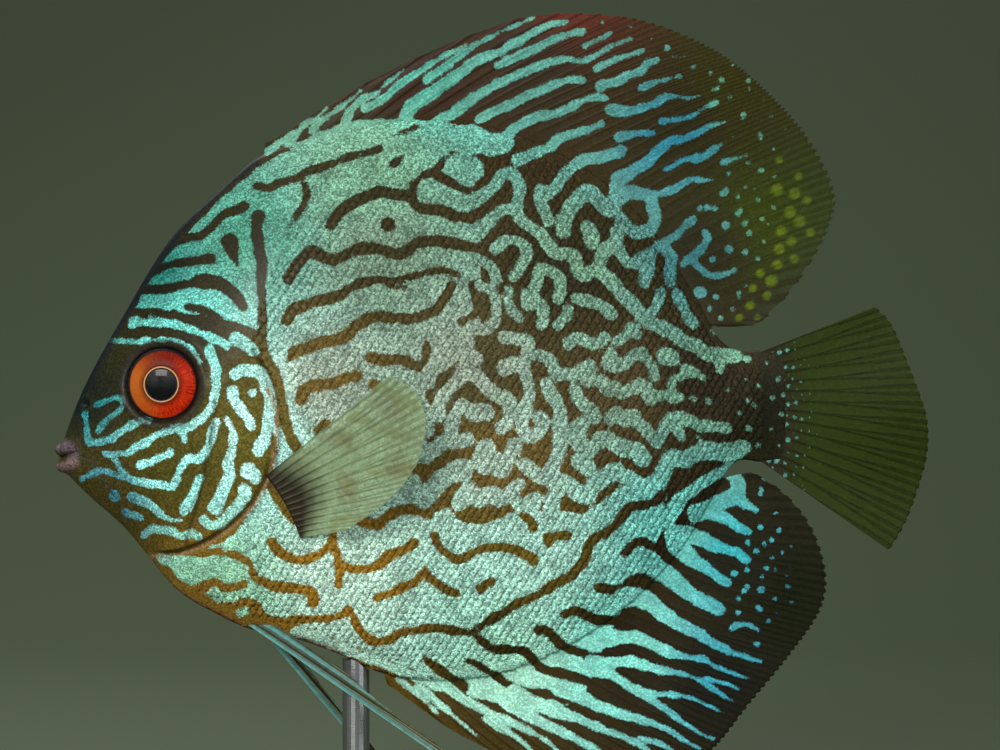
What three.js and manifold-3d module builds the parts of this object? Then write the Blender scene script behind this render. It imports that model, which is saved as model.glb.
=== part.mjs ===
// A discus fish, life size, swimming level with its fins spread, on a flat base with one rod.
// Millimetres, +Z up. The snout points along -X and the fish's left side faces -Y.
// The origin is on the underside of the base, below the middle of the fish's length.
import * as THREE from "three";
import { mergeVertices } from "three/addons/utils/BufferGeometryUtils.js";
import Module from "manifold-3d";

const wasm = await Module();
wasm.setup();

// Driving dimensions
const totalLength = 160; // snout to the rear edge of the tail fin
const bodyHalfWidth = 14; // at the thickest part, behind the gill covers
const finRootHalf = 1.5; // half the thickness of the back and belly where a fin grows
const membraneHalf = 0.42; // half the thickness of a fin's skin near its root
const edgeHalf = 0.27; // and at its outer edge
const gap = 0.3; // between touching pieces

const lipReach = 1.1; // how far the lips stand out in front of the jaws
const snoutX = lipReach - totalLength / 2;
const peduncleX = 49; // where the tail fin grows from the body
const tailCutX = 41.8; // trunk in front, tail base behind
const widestHeight = -0.1; // of the half height, measured from the middle of a section

const eye = { x: -60.2, z: 92.4, radius: 6.5, depth: 2.9, dome: 1.9, segments: 28 };
const socket = { radius: eye.radius + gap, floorY: 7.2 };
const orbit = { radius: 7.3, tube: 0.75, sink: 0.25, around: 28, section: 5 };
const nostril = { x: -74.2, z: 88.8, radius: 0.75, tube: 0.3, pit: 0.55 };
const mouth = { z: 79.2, corner: -75.8, frontX: -86, innerX: -76.8, halfGape: 2.6 };
const lips = [
  { x: -78.6, z: 81, length: 1.5, width: 3.1, height: 1.35 },
  { x: -78, z: 77.3, length: 1.8, width: 2.9, height: 1.55 },
];
const gillPlate = { thickness: 1.6, rise: 0.45 };
const base = { length: 108, width: 62, height: 8, corner: 12, bevel: 1, x: -12 };
const rod = { x: -25.2, radius: 2.5, segments: 20, into: 3 };

// A smooth curve through knots of [position, value], read as a function of position.
function through(knots) {
  const last = knots.length - 1;
  const slopes = knots.map((knot, i) => {
    const before = knots[Math.max(i - 1, 0)];
    const after = knots[Math.min(i + 1, last)];
    return (after[1] - before[1]) / (after[0] - before[0]);
  });
  return (position) => {
    let i = 0;
    while (i < last - 1 && position > knots[i + 1][0]) i += 1;
    const span = knots[i + 1][0] - knots[i][0];
    const s = THREE.MathUtils.clamp((position - knots[i][0]) / span, 0, 1);
    const rise = s * s * (3 - 2 * s);
    return (
      knots[i][1] * (1 - rise) +
      knots[i + 1][1] * rise +
      slopes[i] * span * s * (1 - s) * (1 - s) -
      slopes[i + 1] * span * s * s * (1 - s)
    );
  };
}

// Height of the back above the floor, from the snout over the forehead to the tail root.
const backHeight = through([
  [snoutX, 81.4], [-77.8, 85.1], [-74.7, 92.7], [-69, 103.2], [-59.4, 119], [-50.2, 128.2],
  [-42.5, 134.6], [-28, 139.3], [-13.4, 141.4], [1.3, 139.6], [16, 133.1], [28, 122.7],
  [37.1, 108.9], [41, 101.6], [44.5, 98.9], [peduncleX, 98.8],
]);

// Height of the chin, throat, belly and underside of the tail root.
const bellyHeight = through([
  [snoutX, 77.2], [-78, 75.9], [-74.3, 72.1], [-67.9, 66.4], [-64, 61.8], [-57.9, 54.6],
  [-50, 49.8], [-44.3, 47.3], [-35.5, 45.4], [-28.1, 42.7], [-20.8, 39.4], [-13.4, 37.9],
  [-6.1, 37.9], [1.3, 39.2], [8.6, 41.7], [16, 45.4], [23.4, 50.6], [29.8, 56.5],
  [35.3, 63.3], [39.5, 70.3], [42.5, 75.8], [45, 78.4], [peduncleX, 78.2],
]);

// Half the thickness of the body at its widest height, as a share of bodyHalfWidth.
const widthShare = through([
  [snoutX, 0.16], [-78, 0.27], [-74, 0.41], [-68, 0.57], [-60, 0.75], [-50, 0.91],
  [-40, 0.985], [-28, 1], [-14, 0.95], [0, 0.85], [14, 0.7], [26, 0.53], [36, 0.37],
  [44, 0.26], [peduncleX, 0.22],
]);

// Rear edge of the gill cover from the top, round under the throat.
const gillEdge = [
  [-43.6, 97.6], [-40.6, 93.2], [-39.2, 88], [-39.2, 83], [-40.3, 77.6], [-42.6, 72.6],
  [-46.2, 68.5], [-51, 65], [-56.5, 62.7], [-63, 61.6],
];
// Front edge of the gill cover, from the top down behind the cheek.
const cheekEdge = [
  [-40, 100.4], [-43.4, 100.2], [-46.4, 98.9], [-48.6, 96.2], [-49.7, 91], [-50.4, 82], [-52.2, 75.5],
  [-54.2, 68.5], [-56.8, 61],
];

// Half thickness of the body at a place on its side; grown moves the whole skin outwards.
function halfWidth(x, z, grown = 0) {
  const top = backHeight(x);
  const bottom = bellyHeight(x);
  const t = (2 * z - top - bottom) / (top - bottom);
  const away = t < widestHeight ? (widestHeight - t) / (1 + widestHeight) : (t - widestHeight) / (1 - widestHeight);
  const fullness = Math.max(0, 1 - Math.min(away, 1) ** 2.1) ** 0.85;
  const edge = Math.min(finRootHalf, bodyHalfWidth * widthShare(x) * 0.6);
  return edge + (bodyHalfWidth * widthShare(x) - edge) * fullness + grown;
}

// Turns positions and triangles into a solid whose faces point outwards.
function solidFrom(positions, triangles) {
  let volume = 0;
  for (const [a, b, c] of triangles) {
    const [p, q, r] = [a, b, c].map((i) => new THREE.Vector3(...positions[i]));
    volume += p.dot(q.cross(r));
  }
  const facing = volume < 0 ? triangles.map(([a, b, c]) => [a, c, b]) : triangles;
  return new wasm.Manifold(
    new wasm.Mesh({
      numProp: 3,
      vertProperties: new Float32Array(positions.flat()),
      triVerts: new Uint32Array(facing.flat()),
    }),
  );
}

// Turns a closed three.js geometry into a solid.
function solidOf(geometry) {
  const bare = geometry.clone();
  bare.deleteAttribute("normal");
  bare.deleteAttribute("uv");
  const merged = mergeVertices(bare, 1e-4);
  return new wasm.Manifold(
    new wasm.Mesh({
      numProp: 3,
      vertProperties: merged.attributes.position.array,
      triVerts: new Uint32Array(merged.index.array),
    }),
  );
}

function largest(solid) {
  return solid.decompose().reduce((best, one) => (one.volume() > best.volume() ? one : best));
}

// A slab with the outline [x, z], reaching from one side of the fish to the other.
function slab(outline, nearY = -40, farY = 40) {
  const shape = new THREE.Shape(outline.map(([x, z]) => new THREE.Vector2(x, z)));
  const geometry = new THREE.ExtrudeGeometry(shape, { depth: farY - nearY, bevelEnabled: false });
  geometry.rotateX(Math.PI / 2).translate(0, farY, 0);
  return solidOf(geometry);
}

// Moves an open line of [x, z] sideways, to its left as it is drawn.
function shifted(line, by) {
  return line.map(([x, z], i) => {
    const [x0, z0] = line[Math.max(i - 1, 0)];
    const [x1, z1] = line[Math.min(i + 1, line.length - 1)];
    const length = Math.hypot(x1 - x0, z1 - z0);
    return [x - ((z1 - z0) / length) * by, z + ((x1 - x0) / length) * by];
  });
}

// The whole body as rings from the snout to the tail root; grown moves its skin outwards.
function bodyLoft(grown) {
  const headStations = 22;
  const trunkStations = 25;
  const perSide = 17;
  const positions = [];
  const triangles = [];
  const headEnd = -44;
  const stations = [];
  for (let i = 0; i <= headStations; i += 1) {
    stations.push(snoutX + (headEnd - snoutX) * (i / headStations) ** 1.25);
  }
  for (let i = 1; i <= trunkStations; i += 1) {
    stations.push(headEnd + (peduncleX - headEnd) * (i / trunkStations));
  }
  const ringSize = 2 * (perSide + 1);
  for (const x of stations) {
    const top = backHeight(x);
    const bottom = bellyHeight(x);
    const shownX = x === snoutX ? x - grown : x === peduncleX ? x + grown : x;
    for (let side = -1; side <= 1; side += 2) {
      for (let j = 0; j <= perSide; j += 1) {
        const share = -Math.cos((Math.PI * (j + 0.35)) / (perSide + 0.7));
        const t = side < 0 ? share : -share;
        const edgeward = Math.sign(t) * Math.max(0, Math.abs(t) - 0.9) * 10;
        const z = (top + bottom) / 2 + ((top - bottom) / 2) * (t / Math.cos((Math.PI * 0.35) / (perSide + 0.7)));
        positions.push([shownX, side * halfWidth(x, z, grown), z + edgeward * grown]);
      }
    }
  }
  for (let i = 0; i < stations.length - 1; i += 1) {
    for (let j = 0; j < ringSize; j += 1) {
      const a = i * ringSize + j;
      const b = i * ringSize + ((j + 1) % ringSize);
      triangles.push([a, b, a + ringSize], [b, b + ringSize, a + ringSize]);
    }
  }
  for (const [ring, turn] of [[0, false], [stations.length - 1, true]]) {
    const start = ring * ringSize;
    for (let j = 0; j < perSide; j += 1) {
      const a = start + j;
      const b = start + j + 1;
      const c = start + ringSize - 1 - j;
      const d = start + ringSize - 2 - j;
      const faces = [[a, c, b], [b, c, d]];
      triangles.push(...(turn ? faces.map(([p, q, r]) => [p, r, q]) : faces));
    }
  }
  return solidFrom(positions, triangles);
}

// A fin as two alike grids of [x, y, z] and the rim between them.
function closedSheet(near, far) {
  const columns = near.length;
  const rows = near[0].length;
  const positions = [...near.flat(), ...far.flat()];
  const back = columns * rows;
  const triangles = [];
  for (let i = 0; i < columns - 1; i += 1) {
    for (let j = 0; j < rows - 1; j += 1) {
      const a = i * rows + j;
      const b = a + rows;
      triangles.push([a, b, a + 1], [b, b + 1, a + 1]);
      triangles.push([back + a, back + a + 1, back + b], [back + b, back + a + 1, back + b + 1]);
    }
  }
  const rim = [];
  for (let i = 0; i < columns - 1; i += 1) rim.push(i * rows);
  for (let j = 0; j < rows - 1; j += 1) rim.push((columns - 1) * rows + j);
  for (let i = columns - 1; i > 0; i -= 1) rim.push(i * rows + rows - 1);
  for (let j = rows - 1; j > 0; j -= 1) rim.push(j);
  rim.forEach((a, k) => {
    const b = rim[(k + 1) % rim.length];
    triangles.push([a, back + a, b], [b, back + a, back + b]);
  });
  return solidFrom(positions, triangles);
}

// The share of the way along an outline where a fin's ray ends, for each share along its root.
const dorsalSweep = through([[0, 0.01], [0.184, 0.347], [0.3, 0.438], [0.42, 0.54], [0.75, 0.69], [0.87, 0.78], [0.96, 0.86], [1, 0.955]]);
const analSweep = through([[0, 0.015], [0.06, 0.19], [0.26, 0.42], [0.44, 0.53], [0.6, 0.635], [0.82, 0.768], [0.95, 0.885], [1, 0.965]]);

const dorsalEdge = new THREE.SplineCurve([
  [-43.2, 135.9], [-36.2, 140.2], [-30, 144.2], [-23.2, 148.1], [-13.4, 152.9], [-4.2, 156.8],
  [7.9, 160.4], [22.8, 160.2], [34.4, 157], [45.4, 150.8], [56.5, 140], [62.6, 128.5],
  [61.4, 120.6], [55.5, 110.6], [48.2, 103.2], [41.6, 100.6],
].map(([x, z]) => new THREE.Vector2(x, z)));

const analEdge = new THREE.SplineCurve([
  [-21, 38.6], [-15.3, 34.2], [-9.7, 30.2], [-4.2, 26.9], [8.6, 21.2], [23.4, 18.4], [38.1, 23.6],
  [47.6, 34.3], [54.6, 42.6], [60.1, 50.5], [61.3, 57.5], [58.7, 66], [53.7, 72.4], [46.9, 76.8],
  [43.2, 77.6],
].map(([x, z]) => new THREE.Vector2(x, z)));

// Columns of a fin with rays: each ray is a crest, with the membrane between it and the next.
function rayColumns(count) {
  const columns = [];
  for (let k = 0; k < count; k += 1) {
    columns.push({ share: k / (count - 1), crest: 1 });
    if (k === count - 1) break;
    for (const [offset, crest] of [[0.3, 0], [0.7, 0]]) {
      columns.push({ share: (k + offset) / (count - 1), crest });
    }
  }
  return columns;
}

// A fin in the fish's middle plane, from a root line to an outline, between two shares of the root.
function medianFin({ rootPoint, edgePoint, from, to, rays, rows, crestHalf, fringe, lean }) {
  const near = [];
  const far = [];
  for (const { share, crest } of rayColumns(rays)) {
    const u = from + (to - from) * share;
    const root = rootPoint(u);
    const tip = edgePoint(u);
    const along = tip.clone().sub(root);
    const reach = 1 + (fringe(u) * (crest - 0.5)) / along.length();
    const nearColumn = [];
    const farColumn = [];
    for (let j = 0; j <= rows; j += 1) {
      const v = (j / rows) ** 1.15;
      const bend = Math.sin(Math.PI * Math.min(v, 1)) * lean;
      const x = root.x + along.x * v * reach - along.y * bend * Math.sign(along.y);
      const z = root.y + along.y * v * reach + along.x * bend * Math.sign(along.y);
      const neck = Math.exp(-v * 9) * (finRootHalf - membraneHalf);
      const skin = THREE.MathUtils.lerp(membraneHalf, edgeHalf, v);
      const half = skin + neck + crest * crestHalf * (1 - 0.75 * v) * (1 - Math.exp(-v * 9));
      nearColumn.push([x, -half, z]);
      farColumn.push([x, half, z]);
    }
    near.push(nearColumn);
    far.push(farColumn);
  }
  return closedSheet(near, far);
}

// The line where a median fin grows, just off the back or the belly.
function rootLine(height, x0, x1, off) {
  const points = [];
  const steps = 48;
  for (let i = 0; i <= steps; i += 1) {
    const x = x0 + (x1 - x0) * (i / steps);
    const slope = (height(x + 0.05) - height(x - 0.05)) / 0.1;
    const length = Math.hypot(1, slope);
    points.push(new THREE.Vector2(x - (slope / length) * off, height(x) + off / length));
  }
  const curve = new THREE.SplineCurve(points);
  curve.arcLengthDivisions = 400;
  return (u) => curve.getPointAt(THREE.MathUtils.clamp(u, 0, 1));
}

const grownBody = bodyLoft(gap);
const dorsalRoot = rootLine(backHeight, -42.6, 40.9, gap);
const analRoot = rootLine(bellyHeight, -20.6, 42.4, -gap);
const dorsalTip = (u) => dorsalEdge.getPointAt(THREE.MathUtils.clamp(dorsalSweep(u), 0, 1));
const analTip = (u) => analEdge.getPointAt(THREE.MathUtils.clamp(analSweep(u), 0, 1));
const dorsalSplit = 0.31; // spines in front of it, soft rays behind
const analSplit = 0.2;
const splitHalf = 0.0018; // half the gap between the two parts of a fin, as a share of its root
const dorsalFringe = (u) => 0.6 + 1.1 * u; // how far ray tips stand out of the membrane
const analFringe = (u) => 0.6 + 0.6 * u;

function dorsalSpines() {
  return medianFin({
    rootPoint: dorsalRoot, edgePoint: dorsalTip, from: 0, to: dorsalSplit - splitHalf,
    rays: 9, rows: 5, crestHalf: 0.55, fringe: dorsalFringe, lean: 0.025,
  });
}

function dorsalRays() {
  return medianFin({
    rootPoint: dorsalRoot, edgePoint: dorsalTip, from: dorsalSplit + splitHalf, to: 1,
    rays: 23, rows: 5, crestHalf: 0.4, fringe: dorsalFringe, lean: 0.025,
  });
}

function analSpines() {
  return medianFin({
    rootPoint: analRoot, edgePoint: analTip, from: 0, to: analSplit - splitHalf,
    rays: 7, rows: 5, crestHalf: 0.55, fringe: analFringe, lean: 0.025,
  });
}

function analRays() {
  return medianFin({
    rootPoint: analRoot, edgePoint: analTip, from: analSplit + splitHalf, to: 1,
    rays: 21, rows: 5, crestHalf: 0.4, fringe: analFringe, lean: 0.025,
  });
}

// The tail fin fans from the upright end of the tail root.
const tailEdge = new THREE.SplineCurve([
  [70.4, 106.8], [73.6, 103.2], [77.1, 94.2], [79.6, 86.8], [80, 80.5], [78.7, 74.4],
  [76, 67.2], [72.8, 62],
].map(([x, z]) => new THREE.Vector2(x, z)));

function tailFin() {
  const rootTop = backHeight(peduncleX) - 0.2;
  const rootBottom = bellyHeight(peduncleX) + 0.2;
  return medianFin({
    rootPoint: (u) => new THREE.Vector2(peduncleX + gap, THREE.MathUtils.lerp(rootTop, rootBottom, u)),
    edgePoint: (u) => tailEdge.getPointAt(u),
    from: 0, to: 1, rays: 14, rows: 5, crestHalf: 0.42, fringe: () => 0.5, lean: 0,
  });
}

// A paired fin: it leaves the side of the body and stands away from it as it goes out.
function pairedFin({ rootLinePoints, edgeLinePoints, rays, rows, crestHalf, fringe, startY, splay, rootHalf, side }) {
  const root = new THREE.SplineCurve(rootLinePoints.map(([x, z]) => new THREE.Vector2(x, z)));
  const edge = new THREE.SplineCurve(edgeLinePoints.map(([x, z]) => new THREE.Vector2(x, z)));
  const near = [];
  const far = [];
  for (const { share, crest } of rayColumns(rays)) {
    const start = root.getPointAt(share);
    const tip = edge.getPointAt(share);
    const along = tip.clone().sub(start);
    const length = along.length();
    const reach = 1 + (fringe * (crest - 0.5)) / length;
    const nearColumn = [];
    const farColumn = [];
    for (let j = 0; j <= rows; j += 1) {
      const v = (j / rows) ** 1.1;
      const x = start.x + along.x * v * reach;
      const z = start.y + along.y * v * reach;
      const neck = Math.exp(-v * 7) * (rootHalf - membraneHalf);
      const half = THREE.MathUtils.lerp(membraneHalf, edgeHalf, v) + neck + crest * crestHalf * (1 - 0.7 * v);
      const y = startY(x, z) + splay(v, length, share);
      nearColumn.push([x, side * (y + half), z]);
      farColumn.push([x, side * (y - half), z]);
    }
    near.push(nearColumn);
    far.push(farColumn);
  }
  return largest(closedSheet(near, far).subtract(grownBody));
}

function pectoralFin(side) {
  return pairedFin({
    rootLinePoints: [[-40.6, 76.2], [-38, 72.4], [-36, 68.6], [-34.6, 64.9]],
    edgeLinePoints: [[-18, 94.2], [-13.6, 91.6], [-11.6, 87], [-12.2, 81.4], [-14.6, 76.2], [-19.6, 71], [-26.4, 66.4]],
    rays: 10, rows: 5, crestHalf: 0.25, fringe: 0.6, rootHalf: 1.3, side,
    startY: (x, z) => halfWidth(x, z) - 1.2,
    splay: (v, length) => 3.5 * v + 0.36 * length * v * v,
  });
}

function pelvicFin(side) {
  return pairedFin({
    rootLinePoints: side < 0
      ? [[-44.6, 48.6], [-42, 48.6], [-39.6, 48.4]]
      : [[-44, 48.4], [-41.6, 48.4], [-39.4, 48.2]],
    edgeLinePoints: side < 0
      ? [[-2.6, 20.6], [-9.6, 27.2], [-19.4, 34], [-27.4, 40.6]]
      : [[-18, 16], [-22.4, 24.6], [-28.4, 31.6], [-33.4, 38.4]],
    rays: 4, rows: 5, crestHalf: 0.4, fringe: 0.8, rootHalf: 1.2, side,
    startY: () => 3.4,
    splay: (v, length) => 0.16 * length * v,
  });
}

function lip({ x, z, length, width, height }) {
  return solidOf(new THREE.SphereGeometry(1, 16, 10).scale(length, width, height).translate(x, 0, z));
}

function roundBar(radius, fromY, toY, x, z, segments) {
  const geometry = new THREE.CylinderGeometry(radius, radius, toY - fromY, segments);
  return solidOf(geometry.translate(x, (fromY + toY) / 2, z));
}

// A ring lying on the side of the head, raised round the eye or a nostril.
function ringOnHead({ x, z, radius, tube, sink, around, section, side }) {
  const step = 0.4;
  const slopeX = (halfWidth(x + step, z) - halfWidth(x - step, z)) / (2 * step);
  const slopeZ = (halfWidth(x, z + step) - halfWidth(x, z - step)) / (2 * step);
  const normal = new THREE.Vector3(-slopeX, side, -slopeZ).normalize();
  const geometry = new THREE.TorusGeometry(radius, tube, section, around);
  geometry.applyQuaternion(new THREE.Quaternion().setFromUnitVectors(new THREE.Vector3(0, 0, 1), normal));
  const at = new THREE.Vector3(x, side * halfWidth(x, z), z).addScaledVector(normal, -sink);
  return solidOf(geometry.translate(at.x, at.y, at.z));
}

const headLine = [[-41.6, 150], [-42.4, 118], ...gillEdge, [-70, 50]];
const headSlab = slab([...headLine, [-95, 50], [-95, 150]]);
const headSlabGrown = slab([...shifted(headLine, gap), [-95, 50 - gap], [-95, 150 + gap]]);
const jawLine = [[-90, mouth.z], [mouth.corner, mouth.z - 0.1], [-72.6, 76], [-69.4, 70.5], [-67.4, 62]];
const jawSlab = slab([...jawLine, [-90, 60]]);
const jawSlabGrown = slab([...shifted(jawLine, gap), [-90, 60]]);
const gapeWedge = slab([
  [mouth.frontX, mouth.z + mouth.halfGape], [mouth.innerX, mouth.z], [mouth.frontX, mouth.z - mouth.halfGape],
]);
const tailSlab = slab([[tailCutX, 60], [tailCutX - 1.2, 88], [tailCutX, 120], [90, 120], [90, 60]]);
const tailSlabGrown = slab([
  [tailCutX - gap, 60], [tailCutX - 1.2 - gap, 88], [tailCutX - gap, 120], [90, 120], [90, 60],
]);

const behindGills = [[-38, 98.6], [-34, 84], [-40, 66], [-52, 56]];
const gillSlab = slab([...cheekEdge.slice().reverse(), ...behindGills]);
const gillSlabGrown = slab([...shifted(cheekEdge, -gap).reverse(), ...behindGills]);

const body = bodyLoft(0);
const headWhole = body.intersect(headSlab).add(lip(lips[0])).add(lip(lips[1])).subtract(gapeWedge);

function lowerJaw() {
  return largest(headWhole.intersect(jawSlab));
}

function gillCover(side) {
  const half = slab([[-100, 30], [0, 30], [0, 150], [-100, 150]], side < 0 ? -40 : 0.5, side < 0 ? -0.5 : 40);
  const shell = bodyLoft(gillPlate.rise).subtract(bodyLoft(-gillPlate.thickness));
  return largest(shell.intersect(gillSlab).intersect(headSlab).intersect(half));
}

function head() {
  const recess = bodyLoft(gillPlate.rise + 2).subtract(bodyLoft(-gillPlate.thickness - gap)).intersect(gillSlabGrown);
  let solid = headWhole.subtract(jawSlabGrown).subtract(recess);
  for (const side of [-1, 1]) {
    solid = solid.add(ringOnHead({ ...eye, ...orbit, side }));
    solid = solid.add(ringOnHead({ ...nostril, sink: 0.1, around: 10, section: 5, side }));
    const pit = new THREE.SphereGeometry(nostril.pit, 10, 8);
    pit.translate(nostril.x, side * halfWidth(nostril.x, nostril.z), nostril.z);
    solid = solid.subtract(solidOf(pit));
    const [y0, y1] = side < 0 ? [-30, -socket.floorY] : [socket.floorY, 30];
    solid = solid.subtract(roundBar(socket.radius, y0, y1, eye.x, eye.z, eye.segments));
  }
  return largest(solid);
}

function trunk() {
  return largest(body.subtract(headSlabGrown).subtract(tailSlabGrown));
}

function tailBase() {
  return largest(body.intersect(tailSlab));
}

// An eyeball: a short drum in its socket under a shallow dome.
function eyeball(side) {
  const profile = [new THREE.Vector2(0, 0), new THREE.Vector2(eye.radius, 0)];
  const steps = 4;
  for (let i = 0; i <= steps; i += 1) {
    const angle = (i / steps) * (Math.PI / 2);
    profile.push(new THREE.Vector2(eye.radius * Math.cos(angle), eye.depth + eye.dome * Math.sin(angle)));
  }
  profile[profile.length - 1].x = 0;
  const geometry = new THREE.LatheGeometry(profile, eye.segments);
  if (side < 0) geometry.rotateZ(Math.PI);
  geometry.translate(eye.x, side * (socket.floorY + gap), eye.z);
  return solidOf(geometry);
}

function standBase() {
  const shape = new THREE.Shape();
  const halfLength = base.length / 2 - base.bevel;
  const halfBreadth = base.width / 2 - base.bevel;
  const corner = base.corner - base.bevel;
  shape.moveTo(-halfLength + corner, -halfBreadth);
  shape.lineTo(halfLength - corner, -halfBreadth);
  shape.absarc(halfLength - corner, -halfBreadth + corner, corner, -Math.PI / 2, 0);
  shape.absarc(halfLength - corner, halfBreadth - corner, corner, 0, Math.PI / 2);
  shape.absarc(-halfLength + corner, halfBreadth - corner, corner, Math.PI / 2, Math.PI);
  shape.absarc(-halfLength + corner, -halfBreadth + corner, corner, Math.PI, Math.PI * 1.5);
  const geometry = new THREE.ExtrudeGeometry(shape, {
    depth: base.height - 2 * base.bevel, bevelThickness: base.bevel, bevelSize: base.bevel,
    bevelSegments: 1, curveSegments: 6,
  });
  return solidOf(geometry.translate(base.x, 0, base.bevel));
}

function standRod() {
  const bottom = base.height + gap;
  const top = bellyHeight(rod.x) + rod.into;
  const geometry = new THREE.CylinderGeometry(rod.radius, rod.radius, top - bottom, rod.segments);
  geometry.rotateX(Math.PI / 2).translate(rod.x, 0, (top + bottom) / 2);
  return largest(solidOf(geometry).subtract(grownBody));
}

const finishes = {
  skin: { color: 0x6fb5a5, roughness: 0.35, metalness: 0.1 },
  finSkin: { color: 0x3f6f74, roughness: 0.4, metalness: 0.05 },
  clearFin: { color: 0x5a5f38, roughness: 0.4, metalness: 0 },
  iris: { color: 0xc8401c, roughness: 0.15, metalness: 0 },
  stand: { color: 0x2b2622, roughness: 0.5, metalness: 0 },
  steel: { color: 0xb9bcc0, roughness: 0.3, metalness: 1 },
};

const fish = new THREE.Group();

function place(name, solid, finish) {
  const { vertProperties, triVerts } = solid.getMesh();
  const geometry = new THREE.BufferGeometry();
  geometry.setAttribute("position", new THREE.BufferAttribute(new Float32Array(vertProperties), 3));
  geometry.setIndex(new THREE.BufferAttribute(triVerts, 1));
  const mesh = new THREE.Mesh(geometry, new THREE.MeshStandardMaterial(finishes[finish]));
  mesh.name = name;
  fish.add(mesh);
}

place("head", head(), "skin");
place("lower_jaw", lowerJaw(), "skin");
place("trunk", trunk(), "skin");
place("tail_base", tailBase(), "skin");
place("dorsal_fin_spines", largest(dorsalSpines().subtract(grownBody)), "finSkin");
place("dorsal_fin_rays", largest(dorsalRays().subtract(grownBody)), "finSkin");
place("anal_fin_spines", largest(analSpines().subtract(grownBody)), "finSkin");
place("anal_fin_rays", largest(analRays().subtract(grownBody)), "finSkin");
place("tail_fin", tailFin(), "clearFin");
for (const [word, side] of [["left", -1], ["right", 1]]) {
  place(`gill_cover_${word}`, gillCover(side), "skin");
  place(`eye_${word}`, eyeball(side), "iris");
  place(`pectoral_fin_${word}`, pectoralFin(side), "clearFin");
  place(`pelvic_fin_${word}`, pelvicFin(side), "clearFin");
}
place("stand_base", standBase(), "stand");
place("stand_rod", standRod(), "steel");

export default fish;
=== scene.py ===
# A discus fish as a life-size display model. Lengths are millimetres until a mesh is made.
import bpy
import math
import numpy as np
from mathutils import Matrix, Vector


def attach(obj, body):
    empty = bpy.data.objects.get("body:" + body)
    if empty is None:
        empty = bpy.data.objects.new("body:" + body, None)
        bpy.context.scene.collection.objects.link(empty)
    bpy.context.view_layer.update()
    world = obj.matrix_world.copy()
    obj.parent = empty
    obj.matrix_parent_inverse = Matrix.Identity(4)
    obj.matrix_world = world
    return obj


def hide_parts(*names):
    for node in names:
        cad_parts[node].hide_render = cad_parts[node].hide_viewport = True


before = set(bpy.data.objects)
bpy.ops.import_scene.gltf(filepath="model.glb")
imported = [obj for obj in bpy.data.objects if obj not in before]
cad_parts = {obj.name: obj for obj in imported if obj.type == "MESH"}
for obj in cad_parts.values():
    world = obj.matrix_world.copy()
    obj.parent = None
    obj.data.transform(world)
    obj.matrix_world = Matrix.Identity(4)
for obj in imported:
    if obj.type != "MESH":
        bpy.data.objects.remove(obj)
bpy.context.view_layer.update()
print("frame loaded")

mm = 0.001
leftSide, rightSide = -1, 1  # the sign of Y on each side of the fish
sideWord = {leftSide: "left", rightSide: "right"}


def smoothStep(low, high, value):
    # 0 below low, 1 above high, and 3s^2 - 2s^3 between them
    s = np.clip((value - low) / (high - low), 0, 1)
    return s * s * (3 - 2 * s)


def bump(distance, width):
    # a bell: exp(-(distance / width)^2)
    return np.exp(-(distance / width) ** 2)


def curveThrough(knots):
    # a cubic through each knot, whose slope there is that of the line between its two neighbours
    at, value = np.array(knots, float).T
    slope = np.empty_like(value)
    slope[1:-1] = (value[2:] - value[:-2]) / (at[2:] - at[:-2])
    slope[0] = (value[1] - value[0]) / (at[1] - at[0])
    slope[-1] = (value[-1] - value[-2]) / (at[-1] - at[-2])

    def read(position):
        i = np.clip(np.searchsorted(at, position, side="right") - 1, 0, len(at) - 2)
        span = at[i + 1] - at[i]
        s = np.clip((position - at[i]) / span, 0, 1)
        rise = s * s * (3 - 2 * s)
        ends = value[i] * (1 - rise) + value[i + 1] * rise
        return ends + span * s * (1 - s) * (slope[i] * (1 - s) - slope[i + 1] * s)

    return read


def lineThrough(points, samples=40):
    # a smooth line through the points, read by its share of the way along: a cubic in each span, as above
    points = np.array(points, float)
    padded = np.vstack([2 * points[0] - points[1], points, 2 * points[-1] - points[-2]])
    s = np.linspace(0, 1, samples, endpoint=False)[:, None]
    spans = []
    for a, b, c, d in zip(padded[:-3], padded[1:-2], padded[2:-1], padded[3:]):
        cubic = 2 * b + (c - a) * s + (2 * a - 5 * b + 4 * c - d) * s**2 + (3 * b - a - 3 * c + d) * s**3
        spans.append(0.5 * cubic)
    dense = np.vstack(spans + [points[-1:]])
    run = np.concatenate([[0], np.cumsum(np.linalg.norm(np.diff(dense, axis=0), axis=1))])
    run /= run[-1]
    return lambda share: np.stack([np.interp(share, run, values) for values in dense.T], axis=-1)


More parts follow.
